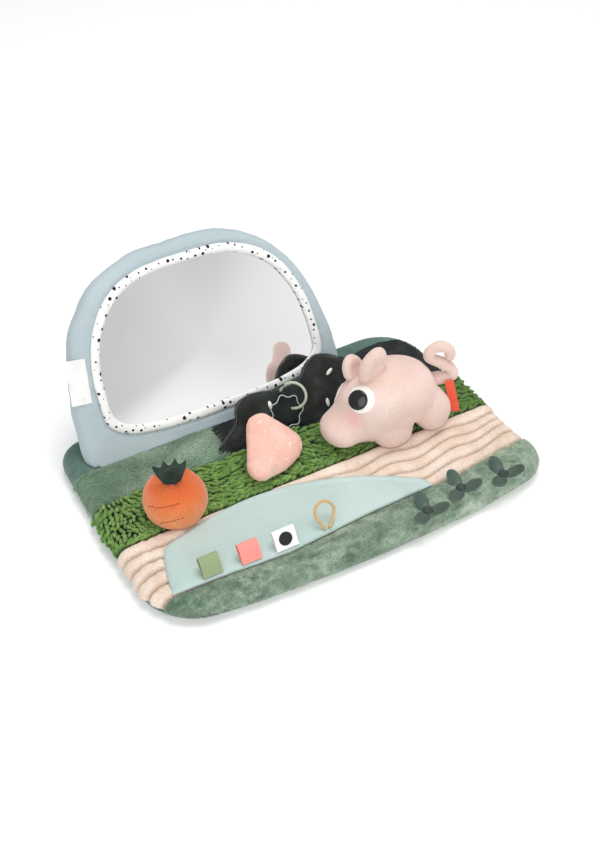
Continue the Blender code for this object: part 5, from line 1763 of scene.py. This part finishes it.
def trefoil(turn):
    """Three oval petals on a small hub, about the origin; two of them curl up, the one nearest the player less."""
    lobes = [math.radians(90 + 120 * k_) + turn for k_ in range(3)]

    def flat(P):
        d_ = None
        rad_ = np.hypot(P[:, 0], P[:, 1])
        for a_ in lobes:
            u_ = P[:, 0] * math.cos(a_) + P[:, 1] * math.sin(a_)
            w_ = -P[:, 0] * math.sin(a_) + P[:, 1] * math.cos(a_)
            o_ = (np.sqrt(((u_ - 10.2) / 8.4) ** 2 + (w_ / (6.0 + 0.05 * u_)) ** 2) - 1) * 5.8
            d_ = o_ if d_ is None else smin(d_, o_, 1.2)
        d_ = smin(d_, rad_ - 4.9, 1.5)
        # a slab 2 mm thick with round edges
        q1, q2 = d_ + 0.95, np.abs(P[:, 2]) - 0.05
        return np.minimum(np.maximum(q1, q2), 0) + np.hypot(np.maximum(q1, 0), np.maximum(q2, 0)) - 0.95

    parts_ = [ball_mesh((10.2 * math.cos(a_), 10.2 * math.sin(a_), 0), (8.4, 5.8, 1.2), (0, 0, math.degrees(a_)), 40, 14)
              for a_ in lobes] + [ball_mesh((0, 0, 0), (5.2, 5.2, 1.2), None, 32, 12)]
    V_, F_ = join(parts_)
    V_, F_ = voxel(V_, F_, 0.6)
    V_ = settle(V_, flat, 8, 0.5)
    V_ = relax(V_, F_, 2, 0.4)
    rad_, ang_ = np.hypot(V_[:, 0], V_[:, 1]), np.arctan2(V_[:, 1], V_[:, 0])
    rise, cup = np.zeros(len(V_)), np.zeros(len(V_))
    for a_, up_ in zip(lobes, (8.0, 2.0, 8.0)):
        off_ = np.abs((ang_ - a_ + math.pi) % (2 * math.pi) - math.pi)
        own = off_ < math.radians(60)
        rise = np.where(own, up_ * np.clip((rad_ - 4.5) / 14.5, 0, 1) ** 1.5, rise)
        cup = np.where(own, 0.022 * (rad_ * np.sin(off_)) ** 2 * step(5, 12, rad_), cup)
    V_[:, :2] *= (1 - 0.0009 * rise ** 2)[:, None]
    V_[:, 2] += rise + cup
    return V_, F_


M["silicone_dark"] = M["silicone"].copy()
M["silicone_dark"].name = "green_silicone_stud"
for n_ in M["silicone_dark"].node_tree.nodes:
    if n_.type == "VALTORGB":
        n_.color_ramp.elements[0].color, n_.color_ramp.elements[1].color = lin((45, 58, 52)), lin((53, 67, 60))
for i_, (cx, cy) in enumerate(((58.0, -111.0), (98.0, -102.5), (139.5, -107.0)), 1):
    V, F = trefoil(math.radians((0.0, 3.0, 5.0)[i_ - 1]))
    V = V + np.array([cx, cy, 23.0])
    put("leaf_%d" % i_, V, outward(V, F), M["silicone"], "leaf_%d" % i_, ["trefoil_%d" % i_], sharp=60)
    cap_p = [(0.05, 25.0), (1.6, 25.0), (2.6, 24.9), (3.0, 25.25), (3.5, 25.45), (4.0, 25.25), (4.25, 24.8), (4.25, 24.3), (4.0, 24.0),
             (2.3, 23.95), (2.2, 23.0), (2.2, 19.0), (0.05, 19.0)]
    a = np.linspace(0, 2 * math.pi, 48, endpoint=False)
    V, F = loft([np.column_stack([r_ * np.cos(a), r_ * np.sin(a), np.full(48, z_)]) for r_, z_ in cap_p])
    put("stud_%d" % i_, V + np.array([cx, cy, 0]), F, M["silicone_dark"], "mat", ["rivet_%d" % i_], sharp=50)

# ----------------------------------------------------------------------------
# ring, its cord and the clear leaf
# ----------------------------------------------------------------------------
TEETHER = (20.0, -4.6, 43.0)


def ring_material():
    s_ = Mat("pale_ring", (202, 210, 188), 0.35, spec=0.5)
    s_.colour(s_.ramp(s_.noise(150.0, 2.0), [(0.3, (176, 186, 163)), (0.7, (190, 199, 178))]))
    s_.bump(s_.noise(900.0, 2.0), 0.1, 0.0002)
    return s_.m


def clear_material():
    s_ = Mat("clear_teether", (236, 240, 238), 0.10, spec=0.5)
    s_.b.inputs["Transmission Weight"].default_value = 1.0
    s_.b.inputs["IOR"].default_value = 1.10
    return s_.m


M["ring"], M["clear"] = ring_material(), clear_material()
a = np.linspace(0, 2 * math.pi, 60, endpoint=False)
turned = math.radians(40)
ring_line = np.column_stack([TEETHER[0] + 12 * np.sin(a) * math.cos(turned), TEETHER[1] + 1.8 - 12 * np.sin(a) * math.sin(turned),
                             TEETHER[2] - 12 + 12 * np.cos(a)])
V, F = tube_mesh(ring_line, 1.3, 14, closed=True)
put("ring", leaned(V, HEDGE_O, HEDGE_LEAN), F, M["ring"], "teether", ["teether_ring"])

cord_line = smooth_loop([(3, -1.3, 41.0), (9, -1.9, 42.5), (14.5, -2.2, 43.0)], 8, closed=False)
V, F = tube_mesh(cord_line, 0.9, 10)
put("short_cord", leaned(V, HEDGE_O, HEDGE_LEAN), F, M["felt"], "hedge", ["ring_cord"])

n_ = 168
lo = []
for k_ in range(n_):
    a_ = 2 * math.pi * k_ / n_
    r_ = 1.0 + 0.10 * math.cos(7 * a_ + 0.6)
    lo.append((15.5 * r_ * math.sin(a_), -29.0 + 15.0 * r_ * math.cos(a_)))
lo = np.array(lo)
rings = []
for ins, dep in [(3.0, 2.2), (1.8, 1.9), (0.9, 1.7), (0.2, 2.0), (0.0, 2.7), (0.2, 3.4), (0.9, 3.8), (1.8, 3.6), (3.0, 3.3)]:
    o = inset_outline(lo, ins)
    rings.append(np.column_stack([o[:, 0], np.full(len(o), dep), o[:, 1]]))
V, F = loft(rings)
V = V + np.array([TEETHER[0] - 10.0, TEETHER[1], TEETHER[2] + 5.0])
put("clear_leaf", leaned(V, HEDGE_O, HEDGE_LEAN), F, M["clear"], "teether", ["teether_leaf"], sharp=60)
# a pale tube along the clear leaf's edge: painted highlight for the light its clear edge catches
M["clear_edge_highlight"] = plain_fabric("clear_edge_highlight", (206, 214, 209), 0.35, 900, 0.0001, 0.0, 0.03)
o = inset_outline(lo, 0.5)
V, F = tube_mesh(np.column_stack([o[:, 0], np.full(len(o), 1.7), o[:, 1]]), 0.4, 10, closed=True)
V = V + np.array([TEETHER[0] - 10.0, TEETHER[1], TEETHER[2] + 5.0])
put("clear_leaf_edge_highlight", leaned(V, HEDGE_O, HEDGE_LEAN), F, M["clear_edge_highlight"], "teether")

# ----------------------------------------------------------------------------
# chenille pile on the grass strip
# ----------------------------------------------------------------------------
LOW_TREES = [tree(CARROT_V, CARROT_F), tree(CORAL_V, CORAL_F), PIG_T, tree(HEDGE_V, HEDGE_F), tree(POND_V, POND_F)]


def headroom(P, most=14.0):
    """How far above each point the first loose thing is."""
    out = np.full(len(P), most)
    for i_, p in enumerate(P):
        for t_ in LOW_TREES:
            hit = t_.ray_cast(Vector((p[0], p[1], 10.0)), Vector((0, 0, 1)), 10 + most)
            if hit[0] is not None:
                out[i_] = min(out[i_], hit[0].z - p[2])
    return out


V, F = MAT_V.copy(), MAT_F
Vw = V.copy()
Vw[:, 1] = warp(V[:, 0], V[:, 1], 1)


def press(V_, gap=0.3):
    """Sinks what lies under the toys, the hedge and the flap, so that they rest on it and not in it."""
    out = V_.copy()
    for i_ in np.nonzero(V_[:, 2] > 17.0)[0]:
        x_, y_ = V_[i_, 0], V_[i_, 1]
        for t_ in LOW_TREES:
            hit = t_.ray_cast(Vector((x_, y_, 5.0)), Vector((0, 0, 1)), 30.0)
            if hit[0] is not None and hit[0].z - gap < out[i_, 2]:
                out[i_, 2] = max(hit[0].z - gap, 17.5)
    return out


Vw = press(Vw)
for ob in (velvet[0], cord[0], grass[0], sage[0], darkp[0]):
    co_ = np.zeros(len(ob.data.vertices) * 3, np.float32)
    ob.data.vertices.foreach_get("co", co_)
    world_ = co_.reshape(-1, 3).astype(float) / MM - SHIFT
    ob.data.vertices.foreach_set("co", ((press(world_) + SHIFT) * MM).astype(np.float32).ravel())
    ob.data.update()


def in_strip(c_, n_):
    y_ = straight(c_[:, 0], c_[:, 1])
    return ((c_[:, 2] > SEAM_Z + 0.5) & (y_ > Y_GRASS_CORD + 0.6) & (y_ < Y_PLUSH_GRASS - 0.4)).astype(float)


P, Nn = sample(Vw, F, 3.0, 201, in_strip)
flow = np.column_stack([np.full(len(P), 0.80), np.full(len(P), -0.55), np.zeros(len(P))])
left_ = step(-120, -165, P[:, 0])[:, None]
flow = flow * (1 - left_) + np.array([-0.45, -0.8, -0.2]) * left_
swirl = fbm(P, 26, 2, 211) * 1.3 + fbm(P, 9, 1, 212) * 0.5
c_, s_ = np.cos(swirl), np.sin(swirl)
flow = np.column_stack([flow[:, 0] * c_ - flow[:, 1] * s_, flow[:, 0] * s_ + flow[:, 1] * c_, flow[:, 2]])
close_ = step(13.0, 2.0, straight(P[:, 0], P[:, 1]) - Y_GRASS_CORD)
flow = flow * (1 - close_)[:, None] + np.array([0.97, 0.10, 0.0]) * close_[:, None]
room_ = headroom(P)
V, F, tips = strands(P, Nn, flow, 8.2 - 3.2 * close_, 1.58, 0.60, 221, sides=6, stations=(0.0, 0.35, 0.68, 0.84, 0.95, 1.0), blunt=True,
                     curl=0.22, cap=np.clip(room_ - 1.9, 0.2, 99))
pile = put("grass_pile", V, F, M["grass"], "mat", values=tips)

# longer nap on the plush pieces
if True:
    def sage_keep(c_, n_):
        y_ = straight(c_[:, 0], c_[:, 1])
        return ((c_[:, 2] > SEAM_Z + 0.3) & (y_ > Y_PLUSH_GRASS + 0.3) & (y_ < Y_APRON - 0.3) & (c_[:, 0] < X_SAGE_DARK)).astype(float)

    def dark_keep(c_, n_):
        y_ = straight(c_[:, 0], c_[:, 1])
        return ((c_[:, 2] > SEAM_Z + 0.3) & (y_ > Y_PLUSH_GRASS + 0.3) & (y_ < Y_APRON - 0.3) & (c_[:, 0] > X_SAGE_DARK)).astype(float)

    P, Nn = sample(Vw, MAT_F, 1.15, 231, sage_keep, 3.0)
    flow = np.column_stack([0.9 + 0 * P[:, 0], 0.15 + 0 * P[:, 0], 0 * P[:, 0]])
    left_ = step(-110, -165, P[:, 0])[:, None]
    flow = flow * (1 - left_) + np.array([-0.8, -0.35, -0.3]) * left_
    swirl = fbm(P, 30, 2, 232) * 0.9
    c_, s_ = np.cos(swirl), np.sin(swirl)
    flow = np.column_stack([flow[:, 0] * c_ - flow[:, 1] * s_, flow[:, 0] * s_ + flow[:, 1] * c_, flow[:, 2]])
    V, F, tips = strands(P, Nn, flow, 6.2, 0.45, 0.25, 233, curl=0.16)
    put("sage_nap", V, F, M["sage"], "mat", values=tips)
    P, Nn = sample(Vw, MAT_F, 1.6, 241, dark_keep, 3.0)
    flow = np.column_stack([0.9 + 0 * P[:, 0], -0.2 + 0 * P[:, 0], 0 * P[:, 0]])
    V, F, tips = strands(P, Nn, flow, 2.4, 0.5, 0.45, 243, curl=0.4)
    put("dark_nap", V, F, M["dark"], "mat")

    def velvet_keep(c_, n_):
        y_ = straight(c_[:, 0], c_[:, 1])
        return ((c_[:, 2] > 1.5) & (y_ < Y_FRONT - 1.4) & (n_[:, 2] > -0.8)).astype(float)

    P, Nn = sample(Vw, MAT_F, 1.45, 261, velvet_keep, 3.0)
    swirl = fbm(P, 18, 3, 262) * 3.2
    flow = np.column_stack([np.cos(swirl), np.sin(swirl) - 0.3, -0.2 + 0 * swirl])
    V, F, tips = strands(P, Nn, flow, 1.9, 0.45, 0.30, 263, curl=0.3)
    put("velvet_nap", V, F, M["velvet"], "mat")

    P, Nn = sample(HEDGE_V, HEDGE_F, 1.4, 251, None, 3.0)
    local = unleaned(P, HEDGE_O, HEDGE_LEAN)
    bare = np.zeros(len(P), bool)
    for px, pv, ru, rv in ((61.2, 39.8, 4.2, 4.0), (52.4, 13.3, 2.6, 5.0), (-2.8, 29.6, 2.6, 4.8)):
        bare |= ((local[:, 0] - px) / ru) ** 2 + ((local[:, 2] - pv) / rv) ** 2 < 1
    keep_ = (P[:, 2] > 21.5) & ~(bare & (local[:, 1] < 3))
    P, Nn = P[keep_], Nn[keep_]
    flow = np.column_stack([0.3 + 0 * P[:, 0], 0 * P[:, 0], -0.9 + 0 * P[:, 0]])
    V, F, tips = strands(P, Nn, flow, 1.9, 0.34, 0.5, 253, curl=0.4)
    put("hedge_nap", V, F, M["hedge_nap_highlight"], "hedge")

# ----------------------------------------------------------------------------
# floor
# ----------------------------------------------------------------------------
floor_mat = Mat("floor", (250, 250, 250), 0.9)
floor_mat.b.inputs["Base Color"].default_value = (0.96, 0.96, 0.96, 1)
floor_mat.b.inputs["Emission Color"].default_value = (1, 1, 1, 1)
floor_mat.b.inputs["Emission Strength"].default_value = 0.14
me = raw_mesh("floor", [(-8, -8, -0.0005), (8, -8, -0.0005), (8, 8, -0.0005), (-8, 8, -0.0005)], [(0, 1, 2, 3)])
me.materials.append(floor_mat.m)
floor = bpy.data.objects.new("floor", me)
bpy.context.scene.collection.objects.link(floor)
